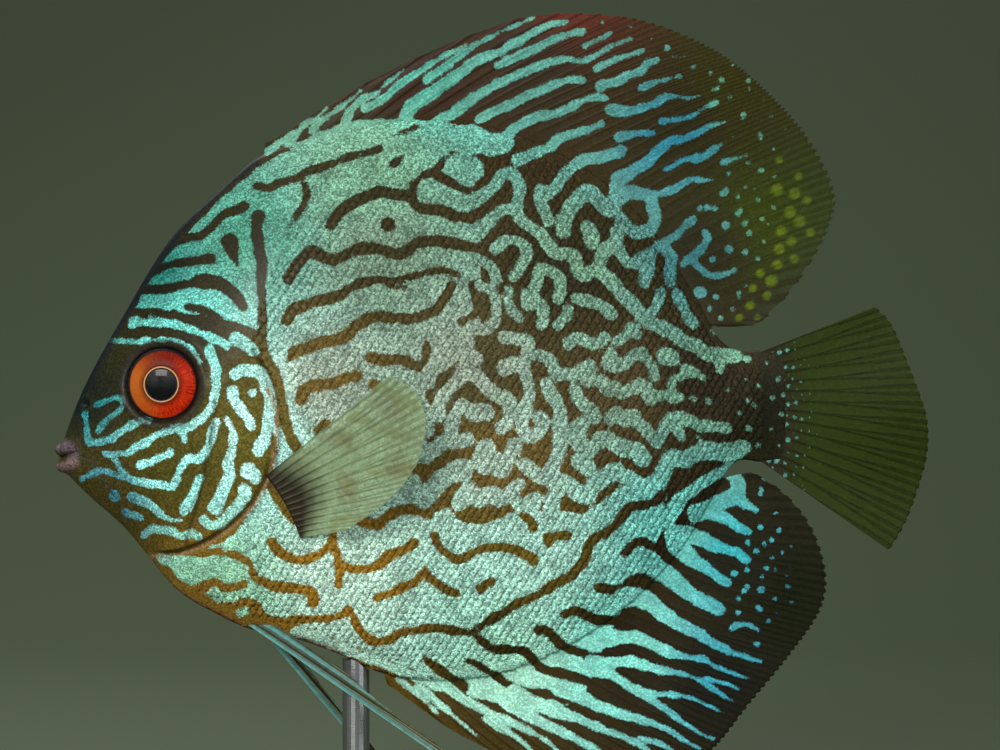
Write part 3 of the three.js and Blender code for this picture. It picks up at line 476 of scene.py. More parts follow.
paleLines = {
    # the dorsal fin, front to rear
    "dorsal1": (0.7, 0.3, [(-41.5, 135.1), (-39.7, 136.5), (-37.9, 138), (-36.6, 139)]),
    "dorsal2": (0.6, 0.2, [(-37.5, 136.5), (-35.7, 139), (-34.3, 140.5), (-32.5, 141.4), (-30.5, 143.4)]),
    "dorsal3": (0.7, 0.2, [(-33.2, 139), (-31.8, 140.8), (-29.6, 142.3), (-27.8, 143.7), (-26, 145.1),
        (-24.4, 146.6)]),
    "dorsal4": (0.8, 0.15, [(-27.1, 140.8), (-26, 143), (-24.3, 144.7), (-21.9, 145.8), (-20.3, 147.2),
        (-18.9, 148.5), (-16.4, 150.4)]),
    "dorsal5": (0.8, 0.3, [(-23.5, 143.3), (-21, 144.4), (-18.9, 146.2), (-16.7, 148), (-14.2, 149.5),
        (-11.7, 151.2), (-8.8, 153), (-4.9, 155)]),
    "dorsal6": (0.8, 0.15, [(-12.4, 148.5), (-9.9, 150.2), (-7, 152.3), (-4.5, 154.1), (-1.6, 155.8),
        (0.9, 157.1), (3.4, 158.3), (7.7, 160)]),
    "dorsal7": (1.2, 0.5, [(-16, 141.5), (-15.1, 143.6), (-13.1, 144.8), (-11, 146.2), (-8.1, 148.3),
        (-5.8, 149.8), (-4, 151.5), (-1.6, 152.7), (1.2, 153.6), (3, 154.7), (6.3, 156.5), (8.6, 157.8),
        (10.9, 158.7), (13.6, 159.2)]),
    "dorsal8": (0.7, 0.5, [(0.9, 151.2), (4.5, 152.8), (8.3, 154.5), (11.1, 155.9), (13.8, 157),
        (16.8, 157.4)]),
    "dorsal9": (1.2, 0.35, [(-18.9, 136.2), (-15.3, 137.4), (-11.7, 139.2), (-9.4, 141), (-8, 142),
        (-5.2, 144), (-2.4, 145.8), (0.2, 147.4), (3.4, 148.9), (6.2, 150), (8.3, 150.8), (10.7, 151.8),
        (13.8, 152.2), (16.2, 151.9), (18.5, 152.7), (20.9, 154.2), (23.2, 155.2), (25.2, 155.9)]),
    "dorsal10": (0.8, 0.6, [(-2.4, 141.3), (0.2, 142.6), (3.4, 144.1), (6, 145.3), (8.7, 146.4),
        (11.5, 147.7), (13.8, 148.4), (16.6, 148.4)]),
    "dorsal11": (1.5, 0.5, [(-15.3, 132.6), (-12.4, 134.4), (-9.9, 136.3), (-6.7, 138.3), (-3.6, 138.8),
        (-0.6, 137.4), (2, 137.6), (4.1, 139.4), (6.2, 140.8), (8.3, 141.5), (11.1, 142.2), (13.8, 143.1),
        (16.2, 144.5), (18.9, 145.3), (20.9, 145)]),
    "dorsal12": (0.5, 0.3, [(17, 154.7), (19.3, 155.8), (21.6, 157)]),
    "dorsal13": (0.6, 0.25, [(18.9, 150.4), (21.6, 151.7), (24.4, 152.8), (27.5, 153.8)]),
    "dorsal14": (0.9, 0.45, [(19.7, 147.3), (22.4, 148), (24.8, 149.2), (27.1, 150), (28.3, 151.3),
        (30.2, 152.2)]),
    "dorsal15": (0.5, 0.2, [(27.1, 146.9), (29.5, 147.9), (31.8, 148.5), (34.2, 149.1)]),
    "dorsal16": (1.0, 0.2, [(21.6, 143), (24.4, 142.7), (27.1, 143.2), (29.5, 143.9), (31.4, 145.1),
        (33.4, 145.4), (35.7, 145.1), (38.1, 145.6)]),
    "dorsal17": (0.5, 0.2, [(31, 140.7), (33.8, 141.2), (36.5, 141.9), (38.5, 143.1), (41.2, 144.4)]),
    "dorsal18": (1.1, 0.5, [(4.6, 133.4), (7.4, 134.8), (10.4, 135.8), (12.6, 137.9), (15, 138.7),
        (17.7, 139.4), (20.1, 140.6)]),
    "dorsal19": (0.8, 0.6, [(23.2, 137.9), (26.3, 138.7), (29.5, 138.7)]),
    "dorsal20": (0.5, 0.4, [(31.8, 132.1), (34.2, 133.2), (35.7, 134)]),
    "dorsal21": (0.8, 0.3, [(37.3, 134), (39.2, 134.5), (40.8, 135.8), (42, 136.8)]),
    "dorsal22": (0.4, 0.2, [(42.4, 133.4), (44.6, 134), (46.7, 134.8)]),
    # the maze of the upper rear flank
    "maze1": (0.9, 1.0, [(-6, 125.2), (-3.5, 125.8), (-1.4, 127.1), (0.5, 128.9), (1.7, 130.5),
        (3.5, 130.8), (4.8, 128.9), (4.8, 126.8), (4.2, 124.3), (5.1, 122.2), (6.9, 120.9), (8.8, 119.7),
        (10, 117.8), (11.5, 116.3), (13.7, 116.3), (14.9, 115.4), (15.5, 113.2), (16.8, 112.3),
        (18.6, 113.2), (20.5, 112), (22.3, 110.5), (23.8, 108.6), (25.4, 107.1), (26.2, 106.2)]),
    "maze2": (1.1, 1.1, [(27.2, 104.6), (29.1, 103.4), (30.9, 102.8), (33.1, 101.5), (34.9, 100.3),
        (37.1, 99.6), (38.8, 98.2), (41.4, 98), (44.4, 97.8)]),
    "maze2Fork": (0.8, 0.8, [(28.8, 105.2), (30, 107.4), (30.6, 109.2)]),
    "maze2Drop": (0.8, 0.6, [(41.8, 97.8), (41.5, 95.2)]),
    "maze3": (1.1, 0.9, [(-6, 120.6), (-3.5, 120), (-2, 120.3), (-0.5, 122.2), (1.7, 124), (3.2, 124.3)]),
    "maze4": (0.8, 0.8, [(0.5, 117.1), (2.3, 118.5), (4.5, 118.5), (6.3, 116.9), (5.7, 115.1), (4.8, 113.5),
        (3.8, 112)]),
    "maze5": (0.9, 0.9, [(-4.2, 115.4), (-2.3, 114.8), (-0.5, 113.8), (0.5, 111.4)]),
    "maze6": (0.8, 0.8, [(-2.3, 110.5), (-0.2, 109.2), (0.5, 106.8), (0.5, 104), (-1.4, 102.5),
        (-3.5, 102.2)]),
    "maze7": (0.7, 0.7, [(2.9, 109.2), (2.8, 107.4), (3.5, 105.5), (4.6, 104.6)]),
    "maze8": (0.9, 0.9, [(7.5, 109.5), (8.2, 111.7), (8.8, 113.5), (10.6, 112.9), (12.2, 111.4),
        (12.2, 109.2), (11.8, 108)]),
    "maze9": (0.9, 0.9, [(6, 108.9), (6.3, 106.8), (8.2, 107.1), (9.1, 105.5), (8.8, 103.1)]),
    "maze10": (0.9, 0.9, [(2, 100.9), (4.5, 100.6), (6.6, 100.3), (6.3, 98.8), (5.6, 96), (5.9, 94),
        (6.6, 92.2), (6.4, 90), (5.8, 88), (5.2, 86), (5.4, 84.2), (6.2, 83), (7.6, 83.4), (8.8, 84.8),
        (9.2, 86.2), (8.2, 86.7)]),
    "maze11": (0.8, 0.8, [(11.8, 103.4), (13.1, 104.6), (14, 106.2)]),
    "maze12": (1.0, 0.9, [(15.2, 108), (17.7, 107.4), (19.8, 106.8), (21.7, 105.2)]),
    "maze13": (0.8, 0.8, [(13.4, 99.7), (15.2, 100.9), (17.4, 100), (18.6, 99.7), (20.2, 101.2)]),
    "maze14": (0.8, 0.8, [(22.6, 100.3), (24.2, 101.5), (25.1, 103.1), (26, 101.5)]),
    "maze15": (0.9, 0.9, [(8.8, 128), (8.5, 126.5), (9.4, 124), (10, 122.2)]),
    "maze16": (0.9, 0.9, [(10, 127.1), (11.8, 128.9), (13.1, 130.8), (14.9, 132.6), (16.8, 133.8),
        (19.2, 134.2), (21.7, 134.8), (23.5, 135.5)]),
    "maze17": (1.2, 1.1, [(12.8, 120.3), (13.1, 122.2), (14, 124.3), (15.2, 125.8), (16.8, 127.7),
        (18.6, 126.8), (20.2, 124.9), (21.7, 124.6), (22.6, 127.7), (22.9, 130.2)]),
    "maze18": (1.1, 0.3, [(22.9, 130.2), (25, 131.4), (27.7, 132.9), (30.2, 135.2), (32.6, 137.1),
        (34.9, 137.5), (37.3, 138.6), (39.6, 139.8), (42.8, 140.7)]),
    "maze19": (1.0, 1.2, [(17.1, 121.5), (18, 120), (17.8, 118.4)]),
    "mazeRing": (1.0, 1.0, [(23.5, 122.8), (24.8, 121.2), (26.6, 120.3), (28.8, 120.9), (29.7, 122.8),
        (29.4, 125.2), (28.5, 127.1), (25.4, 127.7), (23.5, 126.8)]),
    "maze20": (0.6, 0.3, [(30, 127.4), (32.5, 128), (34.6, 129.2), (36.5, 130.3), (38.3, 130),
        (40.5, 130.1)]),
    "maze21": (1.0, 1.0, [(19.5, 115.4), (20.8, 117.2), (22.3, 118.5), (22.6, 120.3)]),
    "maze22": (1.0, 0.8, [(22.3, 118), (23.5, 116), (24.5, 114.8)]),
    "maze23": (1.3, 0.9, [(26.6, 114.8), (28.2, 115.4), (28.2, 113.2), (27.5, 111.1)]),
    "maze24": (0.8, 0.5, [(28.8, 116.6), (30.9, 118.2), (33.4, 119.7), (35.2, 121.5), (36.8, 122.8)]),
    "maze25": (1.0, 0.8, [(31.8, 117.2), (32.8, 115.4), (32.2, 112.9), (32.5, 111.4)]),
    "maze26": (0.6, 0.5, [(34.9, 114.5), (37.1, 116.4), (38.7, 117.8), (39.5, 119.4), (39, 120.3)]),
    "maze27": (0.9, 0.8, [(33.7, 108.9), (34.6, 106.8), (35.5, 104.9), (36.5, 103.7)]),
    "maze28": (0.5, 0.4, [(36.9, 114.9), (38.5, 113.3), (40, 112.4), (42, 112.6), (44.3, 113.5)]),
    "maze29": (1.5, 1.3, [(-6, 136.4), (-4.2, 135.9), (-2, 136.4), (0.2, 135.6), (2.3, 136.6)]),
    "mazeOval": (1.8, 1.8, [(-7, 132.2), (-3.5, 131.6)]),
    # the fine network of the centre and the tail root
    "underBelly": (1.1, 0.8, [(-36, 47), (-30, 45.2), (-24.5, 43), (-18.9, 40.9), (-14.3, 39.1),
        (-9.7, 36.8)]),
    "netExtra1": (0.7, 0.9, [(-9.5, 95.4), (-7.4, 97.2), (-5.2, 98.2), (-3.0, 97.2)]),
    "netExtra2": (0.6, 0.8, [(-6.8, 93.2), (-5.2, 95.4), (-4.6, 97.2)]),
    "net1": (1.1, 1.1, [(-12.3, 93), (-11, 95), (-9.8, 96.6), (-8, 98), (-6.2, 99), (-4.6, 99.8)]),
    "net2": (0.9, 1.0, [(-9.8, 86.8), (-9.4, 89.6), (-7.8, 91.8), (-6, 93.6), (-4, 94.6), (-2.2, 93.4),
        (-0.8, 91.6), (0.8, 90.4), (2.6, 90), (3, 88), (2.6, 85.6), (1.4, 84.6)]),
    "net3": (1.0, 0.9, [(-12, 79.6), (-10.4, 80.8), (-8.4, 82.6), (-7.3, 85), (-6.6, 87.2), (-5.6, 88.8)]),
    "net4": (1.0, 1.0, [(-8.6, 82.4), (-6.2, 82.2), (-4.4, 82.7)]),
    "net5": (1.3, 1.3, [(-3.6, 87.5), (-1, 87.6)]),
    "net6": (1.5, 1.5, [(-1.3, 81.2), (-1.8, 79), (-1.5, 78.2)]),
    "net7": (1.0, 1.1, [(0.3, 79.2), (0.9, 77.4), (1.8, 77), (2.9, 79.2), (4, 81.6)]),
    "net8": (0.8, 0.8, [(-12, 88), (-11.4, 86), (-11.7, 84.2)]),
    "net9": (1.3, 1.5, [(-12.4, 71.6), (-11.2, 73.2), (-9.4, 75.2), (-7.2, 76.6), (-5.2, 77.2)]),
    "net10": (1.2, 1.4, [(-5.8, 71.3), (-4.5, 73.2), (-2.6, 72), (-0.4, 72.7), (1.3, 72)]),
    "net11": (1.2, 1.2, [(2, 95.4), (3.6, 96.2)]),
    "net12": (0.9, 0.9, [(7.6, 97.8), (9.5, 97.4), (10.8, 95.8), (11.5, 94.3), (13.1, 94.6), (14.7, 94.3),
        (16, 95.2), (17.4, 95.8)]),
    "net13": (0.9, 0.9, [(16.2, 94.6), (17.4, 93)]),
    "net14": (0.9, 1.1, [(9.6, 92.4), (10.4, 90.8), (11.5, 89.1), (12.1, 87.5), (12.3, 85.6), (12.1, 83.3),
        (12.1, 81), (11.6, 79.2), (10.8, 77.6), (9.8, 76), (8.6, 76), (7, 77), (5.7, 78)]),
    "net15": (1.0, 1.0, [(15, 91.2), (15.4, 89.6), (17, 88.4), (18, 87.6), (18.5, 86.3)]),
    "net16": (0.9, 0.9, [(19.8, 93), (20.8, 91.5), (22, 92), (23.3, 91.1), (25.2, 91.5), (26.5, 92.7)]),
    "net17": (1.0, 0.7, [(21.4, 98), (20.9, 96.6), (22.4, 95.7), (24.3, 96.8), (25.9, 98), (27.2, 98.2),
        (28.1, 97), (29.1, 95.5), (29.4, 93.9)]),
    "net18": (1.2, 1.2, [(31, 97.8), (32.6, 97.3)]),
    "net19": (1.1, 0.7, [(27.8, 91.6), (28.4, 89.4)]),
    "net20": (0.6, 0.5, [(30, 90.4), (31.3, 90.6), (32.6, 89.8), (34.2, 89.9)]),
    "net21": (0.6, 0.5, [(34.5, 94.2), (32.9, 93.3), (32.3, 91.8), (32.9, 90.4)]),
    "net22": (0.8, 0.8, [(35, 95.1), (37, 94.6)]),
    "net23": (1.1, 1.1, [(21.2, 86.4), (22.4, 87.2), (23.8, 86), (25.4, 86.6), (26.2, 85.7)]),
    "net24": (0.9, 0.8, [(26.6, 85.2), (27.8, 84.3), (28.8, 83.2), (29.6, 81.9), (30.6, 83.3), (31.6, 85.6),
        (33.3, 86.4), (34.9, 86.3), (36.5, 85.5), (38.4, 84.9), (40.6, 84.7), (42.8, 84.3)]),
    "net25": (0.9, 0.7, [(32.6, 85.6), (33.6, 84.2), (34.3, 82.7)]),
    "net26": (1.3, 1.2, [(16, 85), (15.3, 83.4), (15.2, 82)]),
    "net27": (1.1, 1.3, [(18, 80.9), (18.9, 82), (20.1, 82.9), (21.7, 82), (23.6, 80.9), (25.9, 80.6),
        (27.1, 79.2)]),
    "net28": (1.2, 1.3, [(15.6, 78.7), (17.2, 77.5)]),
    "net29": (0.9, 0.9, [(4.7, 74.6), (3.3, 73.4), (4, 71.8), (5, 70.6), (6.3, 71.2), (7.8, 71.9),
        (7.3, 70.2)]),
    "net30": (1.1, 1.2, [(10.4, 70.2), (10.9, 71.6), (11.8, 73.4), (13, 74.8), (14.6, 73.4), (16.2, 72.5),
        (17.1, 72.4)]),
    "net31": (1.1, 1.3, [(17.9, 74), (19.8, 75.2), (21.1, 76.4), (22.4, 76.8)]),
    "net32": (1.2, 1.3, [(22.7, 76.2), (24.6, 75.6), (25.9, 74.6), (27.5, 73.6), (29.4, 74.2), (30.8, 76),
        (31.7, 78), (32.8, 79.2), (34.5, 78.6), (36, 79.6), (38.4, 80.3), (41.3, 80.2), (44.2, 80.4),
        (45.8, 81)]),
    "rearBand": (1.3, 1.0, [(31.4, 67.6), (33, 69.6), (34.2, 71.6), (36, 72.9), (38.4, 74.5), (40.4, 75.8),
        (41.8, 76.5)]),
    # the anal fin, rear to front
    "anal1": (1.2, 1.6, [(43.4, 76.8), (44.6, 75), (45.2, 73), (44.2, 72), (42, 71), (39.4, 69.6),
        (37.4, 68.9)]),
    "anal1Tip": (1.0, 0.5, [(45.2, 71.6), (46.8, 70.3), (48.4, 69.3)]),
    "anal2": (1.3, 0.5, [(40, 69), (42, 68.3), (43.8, 67.3), (45.6, 66.1), (47.2, 65.3)]),
    "anal3": (1.6, 0.6, [(33, 65), (35.6, 65), (38.2, 64.2), (40.4, 63), (42.6, 62.3), (44.8, 61.6),
        (46.6, 60.2)]),
    "anal4": (1.7, 0.6, [(33.4, 63.4), (35.4, 61.4), (37.4, 59.8), (39.6, 58.4), (41.6, 56.8),
        (43.4, 56)]),
    "anal5": (1.9, 1.0, [(26.4, 60), (28.4, 60.2), (30.6, 58.4), (33.4, 56.4), (36.2, 54.1), (39, 52.4),
        (41.6, 51)]),
    "anal6": (1.9, 0.2, [(24, 53.4), (26.4, 53.6), (29, 52.2), (32, 49.9), (35, 47.9), (38, 46.4),
        (40, 45.2), (43, 43.7), (46, 42.6), (49.2, 41.5)]),
    "anal7": (1.4, 0.2, [(19, 45.6), (22, 45.8), (26, 46), (29, 44.8), (32, 43.3), (35.4, 42.4),
        (38.4, 41.9), (41, 40.6), (44, 39.4), (47, 38.4)]),
    "anal8": (1.1, 0.15, [(18, 41.4), (21, 41.2), (24, 41.6), (27.4, 41), (31, 40), (34.4, 39.4),
        (37.4, 38.4), (39.4, 37.1), (41.6, 35.8), (44.4, 34)]),
    "anal8Fork": (0.3, 0.15, [(38.8, 38.3), (41.4, 37.9), (43.4, 37.3), (45, 36.5)]),
    "anal9": (0.9, 0.15, [(19, 40), (22.4, 38.8), (26, 36.6), (29.6, 35.5), (33, 35.6), (36, 35),
        (39, 33.7), (42.4, 32.1)]),
    "anal10": (0.7, 0.15, [(27, 35.8), (29.4, 34.4), (31.4, 33), (33.4, 31.6), (35.6, 29.9), (38, 28.4),
        (40.4, 27.4)]),
    "anal11": (1.3, 0.15, [(12, 36.6), (15, 35.6), (18, 33.9), (21, 32.8), (24, 31.8), (27, 31), (30, 29.9),
        (33, 28.5), (35.6, 26.9), (38.3, 25.5)]),
    "anal12": (1.3, 0.3, [(4, 36), (7, 33.8), (10, 32.6), (14, 31.6), (18, 30), (22, 28.4), (26, 26.8),
        (29, 24.6), (31.4, 22)]),
    "anal13": (1.2, 0.3, [(2, 34.4), (6, 32.2), (9.6, 30), (13, 28.4), (16.6, 26.6), (20, 24.4),
        (23, 21.8)]),
    "anal14": (1.0, 0.3, [(-10, 38), (-6, 35), (-2, 32.8), (2, 31), (6, 29), (9.6, 27), (12.6, 24.4)]),
    "anal15": (0.7, 0.2, [(-1, 31), (2.4, 28.8), (5.4, 26.6), (8, 24)]),
    "anal16": (0.8, 0.2, [(-13.6, 36.6), (-10.6, 34.4), (-7.6, 31.8), (-5, 29.6), (-3, 27.8)]),
    "anal17": (0.5, 0.2, [(-17.6, 38.4), (-14.4, 36), (-12, 33.8), (-10, 31.6)]),
    "anal18": (0.4, 0.2, [(27, 27.4), (30, 26.7), (33, 25.2), (35, 22.8)]),
    "analArc": (0.35, 0.25, [(43.8, 47.5), (45.2, 48.2), (47, 48.2), (48.8, 47.3)]),
    # the face and the gill cover
    "snoutLoop": (0.5, 0.5, [(-72.2, 88.7), (-70, 89.6), (-68.4, 90.1), (-67.2, 89.8), (-66.8, 88.7),
        (-67.8, 87.7), (-69.2, 86.7), (-70.7, 85.5), (-71.7, 84.2)]),
    "snoutHook": (0.65, 0.65, [(-74.2, 87.1), (-74, 84.9), (-73.7, 82.8), (-73.3, 81.9), (-71.1, 82),
        (-69.2, 82.5), (-67.6, 83.6), (-66, 84.8), (-64.1, 85.7), (-62, 86.1)]),
    "underEye": (0.55, 0.9, [(-70.4, 79.9), (-68.2, 79.9), (-66, 80.2), (-64.4, 81.2), (-62.5, 82.1),
        (-60.6, 83.4), (-58.7, 84.1), (-56.6, 84.8), (-54.7, 84.9), (-53.1, 85.7), (-51.5, 86.8),
        (-50.4, 88.4), (-49.9, 90.6), (-49.6, 93), (-49.6, 95.2), (-50.4, 97), (-50.9, 98.7)]),
    "underEyeSpur": (0.8, 0.6, [(-56, 84.2), (-55.4, 82.5)]),
    "cheekLoop": (0.55, 0.85, [(-70.4, 79.9), (-69.2, 79.5), (-68.2, 78.5), (-67.6, 77.1), (-66.5, 76),
        (-64.6, 75.2), (-62.5, 74.7), (-60.1, 74.4), (-57.9, 74), (-57, 75), (-56.6, 76.3), (-55.8, 77.9),
        (-54.7, 79.1), (-52.8, 79.1), (-51.7, 80.3), (-50.8, 82.2), (-50.2, 84.1), (-49.7, 85.7)]),
    "chinBranch": (0.5, 0.5, [(-75, 75.2), (-73.3, 76), (-70.8, 76.8), (-68.7, 76.2), (-67.1, 75.6)]),
    "cheekIsland": (0.7, 0.7, [(-63.8, 77.9), (-62.2, 78.3), (-60.1, 79.3), (-58.1, 80.2)]),
    "behindCheek": (0.9, 0.9, [(-52.5, 75.8), (-53.3, 74.2), (-53.7, 72.8), (-54.6, 71.2), (-55.6, 69.6)]),
    "chinPatch": (1.1, 0.4, [(-65.3, 72), (-63.3, 71.2), (-61.4, 70.1), (-60.1, 68.8), (-58.5, 68.2),
        (-56.3, 68)]),
    "jawSpot": (0.8, 0.8, [(-66.8, 69), (-64.1, 68.2)]),
    "throatArc": (0.8, 0.8, [(-63.6, 65.1), (-62.2, 66.2), (-60.1, 66.3), (-57.9, 65.8), (-56, 64.9),
        (-54.2, 65.7), (-53.1, 65)]),
    "gillHook": (0.9, 1.0, [(-46.3, 94.1), (-45, 95.2), (-43.1, 94.9), (-41.5, 94.3), (-40.4, 92.2),
        (-39.7, 89.8), (-39.9, 87.3), (-40.2, 84.9), (-40.7, 82.8), (-41.8, 81.2)]),
    "gillInner": (0.9, 0.9, [(-46.5, 91.7), (-46.3, 89.8), (-45.3, 88.2), (-43.9, 86.5), (-43.2, 85.1)]),
    "gillColumn": (0.5, 1.1, [(-47.6, 86.3), (-46.6, 83.8), (-46.6, 80.9), (-47.4, 78.5), (-47.3, 76.3),
        (-48.1, 74.4), (-48.8, 72.5), (-49.8, 70.4)]),
    "gillSpots": (1.2, 1.2, [(-43.9, 77.1), (-42.6, 76)]),
    "gillCurve": (1.1, 0.8, [(-44.5, 73.6), (-44.5, 72.3), (-45.8, 70.7), (-47.7, 68.8), (-49.3, 67.4),
        (-50.9, 67.2), (-52, 68)]),
    "membranePatch": (0.9, 0.8, [(-41, 72.5), (-42.3, 70.1), (-44.2, 67.4), (-45.8, 65.3), (-48.2, 63.1)]),
    "throatPatch": (1.2, 1.2, [(-60, 60.6), (-56.4, 60.2)]),
    "overEye": (0.5, 0.35, [(-70.1, 100.6), (-67.5, 100.5), (-64.7, 100.3), (-61.9, 100.5), (-59.1, 100.5),
        (-56.5, 100.3), (-54.6, 99.2), (-53.4, 97.9), (-52.6, 96.3)]),
    "brow": (0.7, 0.7, [(-65.8, 103.4), (-63.3, 103.8), (-60.2, 103.7), (-57.4, 103.3), (-54.6, 102.4),
        (-52, 101.5), (-49.8, 100.6), (-47.8, 99.5)]),
    "templePatch": (1.2, 1.0, [(-46.1, 100.6), (-44.4, 99.8), (-42.8, 98.6)]),
    "besideRoot": (0.9, 0.9, [(-38.4, 78), (-36.8, 79.5), (-35.8, 79.2)]),
    "besideRootUp": (0.5, 0.5, [(-38.4, 84.6), (-38.1, 81.2)]),
}

# spots by their size, each at its own place
paleSpots = {
    "tailEnd": (0.5, [(50.2, 96.5), (52.3, 93.4), (51.2, 90), (53, 87), (51, 84.2), (52.6, 81.2),
        (51.6, 78), (50, 75.2), (48.6, 92.2), (47.8, 88.6), (53.4, 90.6), (53.6, 79.4)]),
    "great": (1.1, [(21, 97.2), (26.6, 97.8), (31.8, 97.5), (-69, 72.1), (-42, 80.6), (38, 109.4)]),
    "large": (0.75, [(40.6, 102.3), (43.5, 117.4), (42.8, 121.7), (-43.1, 90.8), (33.8, 90.1), (36.6, 90),
        (39.2, 89.5), (38.3, 93.7), (-46.3, 50.7), (-45.4, 51.2), (28.8, 97.2)]),
    "middle": (0.52, [(41.2, 108.6), (39.8, 106.4), (41.8, 104.7), (40.4, 115.4), (46.4, 116.8),
        (47.2, 120.2), (46.3, 122.1), (46.9, 122.6), (45.1, 124), (45.5, 124.4), (42.2, 127.6), (42.8, 128),
        (45.1, 127), (48.6, 126.2), (38, 124.9), (39.4, 124.9), (40.8, 124.7), (43.4, 131.2), (44, 138),
        (49.1, 72.3), (49.4, 73.1), (49.2, 66.2), (46.9, 63.4), (49.9, 63.2), (50.4, 58.6), (46.2, 54.4),
        (46.7, 55.3), (45.1, 53), (49.3, 54.8), (44.4, 57.6), (16.5, 157.1), (45, 87.2), (46.6, 89.5),
        (43, 91.5), (46.8, 84.4), (46.6, 97.2), (37.4, 83), (48.4, 81.4), (46.2, 93.4)]),
    "small": (0.4, [(52.7, 65.7), (48.5, 61.8), (51.4, 60.5), (46.8, 58.4), (49.6, 57.1), (52, 53),
        (48.8, 51.4), (49.3, 51.1), (45.1, 50.5), (48.2, 44.8), (48.8, 44.7), (54.2, 55.3), (49.8, 118.6),
        (50.6, 121.9), (51.6, 125), (46.5, 128.7), (48, 128.5), (46.5, 110.7), (44.1, 106.4), (45.2, 108.4),
        (45.2, 109.2), (47.1, 133.2), (32, 154.3), (42, 148.5), (43.7, 145.2), (46.1, 141.4), (46.1, 142.2),
        (49.3, 137.8), (49.3, 138.4), (20.1, 159), (49.6, 122.9), (48.8, 115.6), (49.4, 131.8),
        (51.8, 130.6), (40.8, 136.2)]),
    "fine": (0.28, [(54, 57.3), (53.3, 61.5), (54.8, 62.6), (54.6, 58.6), (52, 68.8), (28.9, 155.9),
        (33.2, 152.5), (34.2, 152.7), (35.2, 152.8), (36.5, 150.7), (37.1, 151), (39.8, 149.7), (36, 147.8),
        (36.8, 148), (40.6, 146.8), (41.2, 147), (46.9, 148.3), (47.1, 146.7), (49.8, 144.8), (51.2, 141.9),
        (53.8, 139.5), (51.6, 135.8), (44.2, 151.2), (50.8, 49), (52.4, 50.4), (52, 58.4), (51.2, 63.8),
        (53.4, 66.6), (55, 52.4), (25.2, 158.2)]),
}
darkSpots = {
    "shoulder": (1.4, [(-18.8, 121.4)]),
    "flank": (0.8, [(-9.1, 85.5), (-11.2, 82.4), (0.9, 88.6), (-0.6, 95), (-36.2, 97.4)]),
}


def strokeReach(x, z, half, points):
    # how far inside the line each place lies: the greatest of half width - distance over dots along the line
    points = np.array(points, float)
    share = np.zeros(1)
    if len(points) > 1:
        run = np.sum(np.linalg.norm(np.diff(points, axis=0), axis=1))
        share = np.linspace(0, 1, max(3, int(run / paintGrid["step"])))
        points = lineThrough(points)(share)
    widths = half[0] + (half[1] - half[0]) * share
    best = np.full(x.shape, -np.inf)
    for (dotX, dotZ), width in zip(points, widths):
        best = np.maximum(best, width - np.hypot(x - dotX, z - dotZ))
    return best


def insideOutline(x, z, outline):
    # the distance to a closed outline, positive within it
    # a place is within it where a level line from there crosses it an odd number of times
    corners = np.array(outline, float)
    inside = np.zeros(x.shape, bool)
    near = np.full(x.shape, np.inf)
    for (x0, z0), (x1, z1) in zip(corners, np.roll(corners, -1, axis=0)):
        dx, dz = x1 - x0, z1 - z0
        if dz != 0:
            inside ^= ((z0 > z) != (z1 > z)) & (x < x0 + (z - z0) * dx / dz)
        s = np.clip(((x - x0) * dx + (z - z0) * dz) / (dx * dx + dz * dz), 0, 1)
        near = np.minimum(near, np.hypot(x - x0 - s * dx, z - z0 - s * dz))
    return np.where(inside, near, -near)


def gridSpan(values, low, margin):
    # the rows or columns of the paint grid within a margin of some values
    first = int((values.min() - margin - low) / paintGrid["step"])
    last = int((values.max() + margin - low) / paintGrid["step"])
    return slice(max(0, first), last + 2)


def paintMarkings():
    # the pale ground first, then dark lines cut into it, then pale lines and spots laid over both
    step, low, high = paintGrid["step"], paintGrid["low"], paintGrid["high"]
    x, z = np.meshgrid(np.arange(low[0], high[0], step), np.arange(low[1], high[1], step))
    field = insideOutline(x, z, paleGround)
    layers = [(-1, (a, b), points) for a, b, points in darkLines.values()]
    layers += [(-1, (size, size), [spot]) for size, spots in darkSpots.values() for spot in spots]
    for name, (a, b, points) in paleLines.items():
        more = sum(extra for word, extra in paintGrid["fatter"].items() if name.startswith(word))
        layers.append((1, (a + more, b + more * b / a), points))
    layers += [(1, (size, size), [spot]) for size, spots in paleSpots.values() for spot in spots]
    for sign, half, points in layers:
        margin = max(half) + paintGrid["reach"] + paintGrid["margin"]
        xs, zs = np.array(points, float).T
        near = gridSpan(zs, low[1], margin), gridSpan(xs, low[0], margin)
        reach = strokeReach(x[near], z[near], half, points)
        field[near] = np.maximum(field[near], reach) if sign > 0 else np.minimum(field[near], -reach)
    wobble = np.random.default_rng(paintGrid["seed"]).standard_normal(x.shape)
    waves = np.hypot(np.fft.rfftfreq(x.shape[1], step)[None, :], np.fft.fftfreq(x.shape[0], step)[:, None])
    smooth = np.exp(-(waves * paintGrid["wobbleSize"] * 2) ** 2)
    wobble = np.fft.irfft2(np.fft.rfft2(wobble) * smooth, s=x.shape)
    field += paintGrid["wobble"] * wobble / wobble.std()
    return np.clip(field, -paintGrid["reach"], paintGrid["reach"])


patternField = paintMarkings()
print("markings painted", patternField.shape)


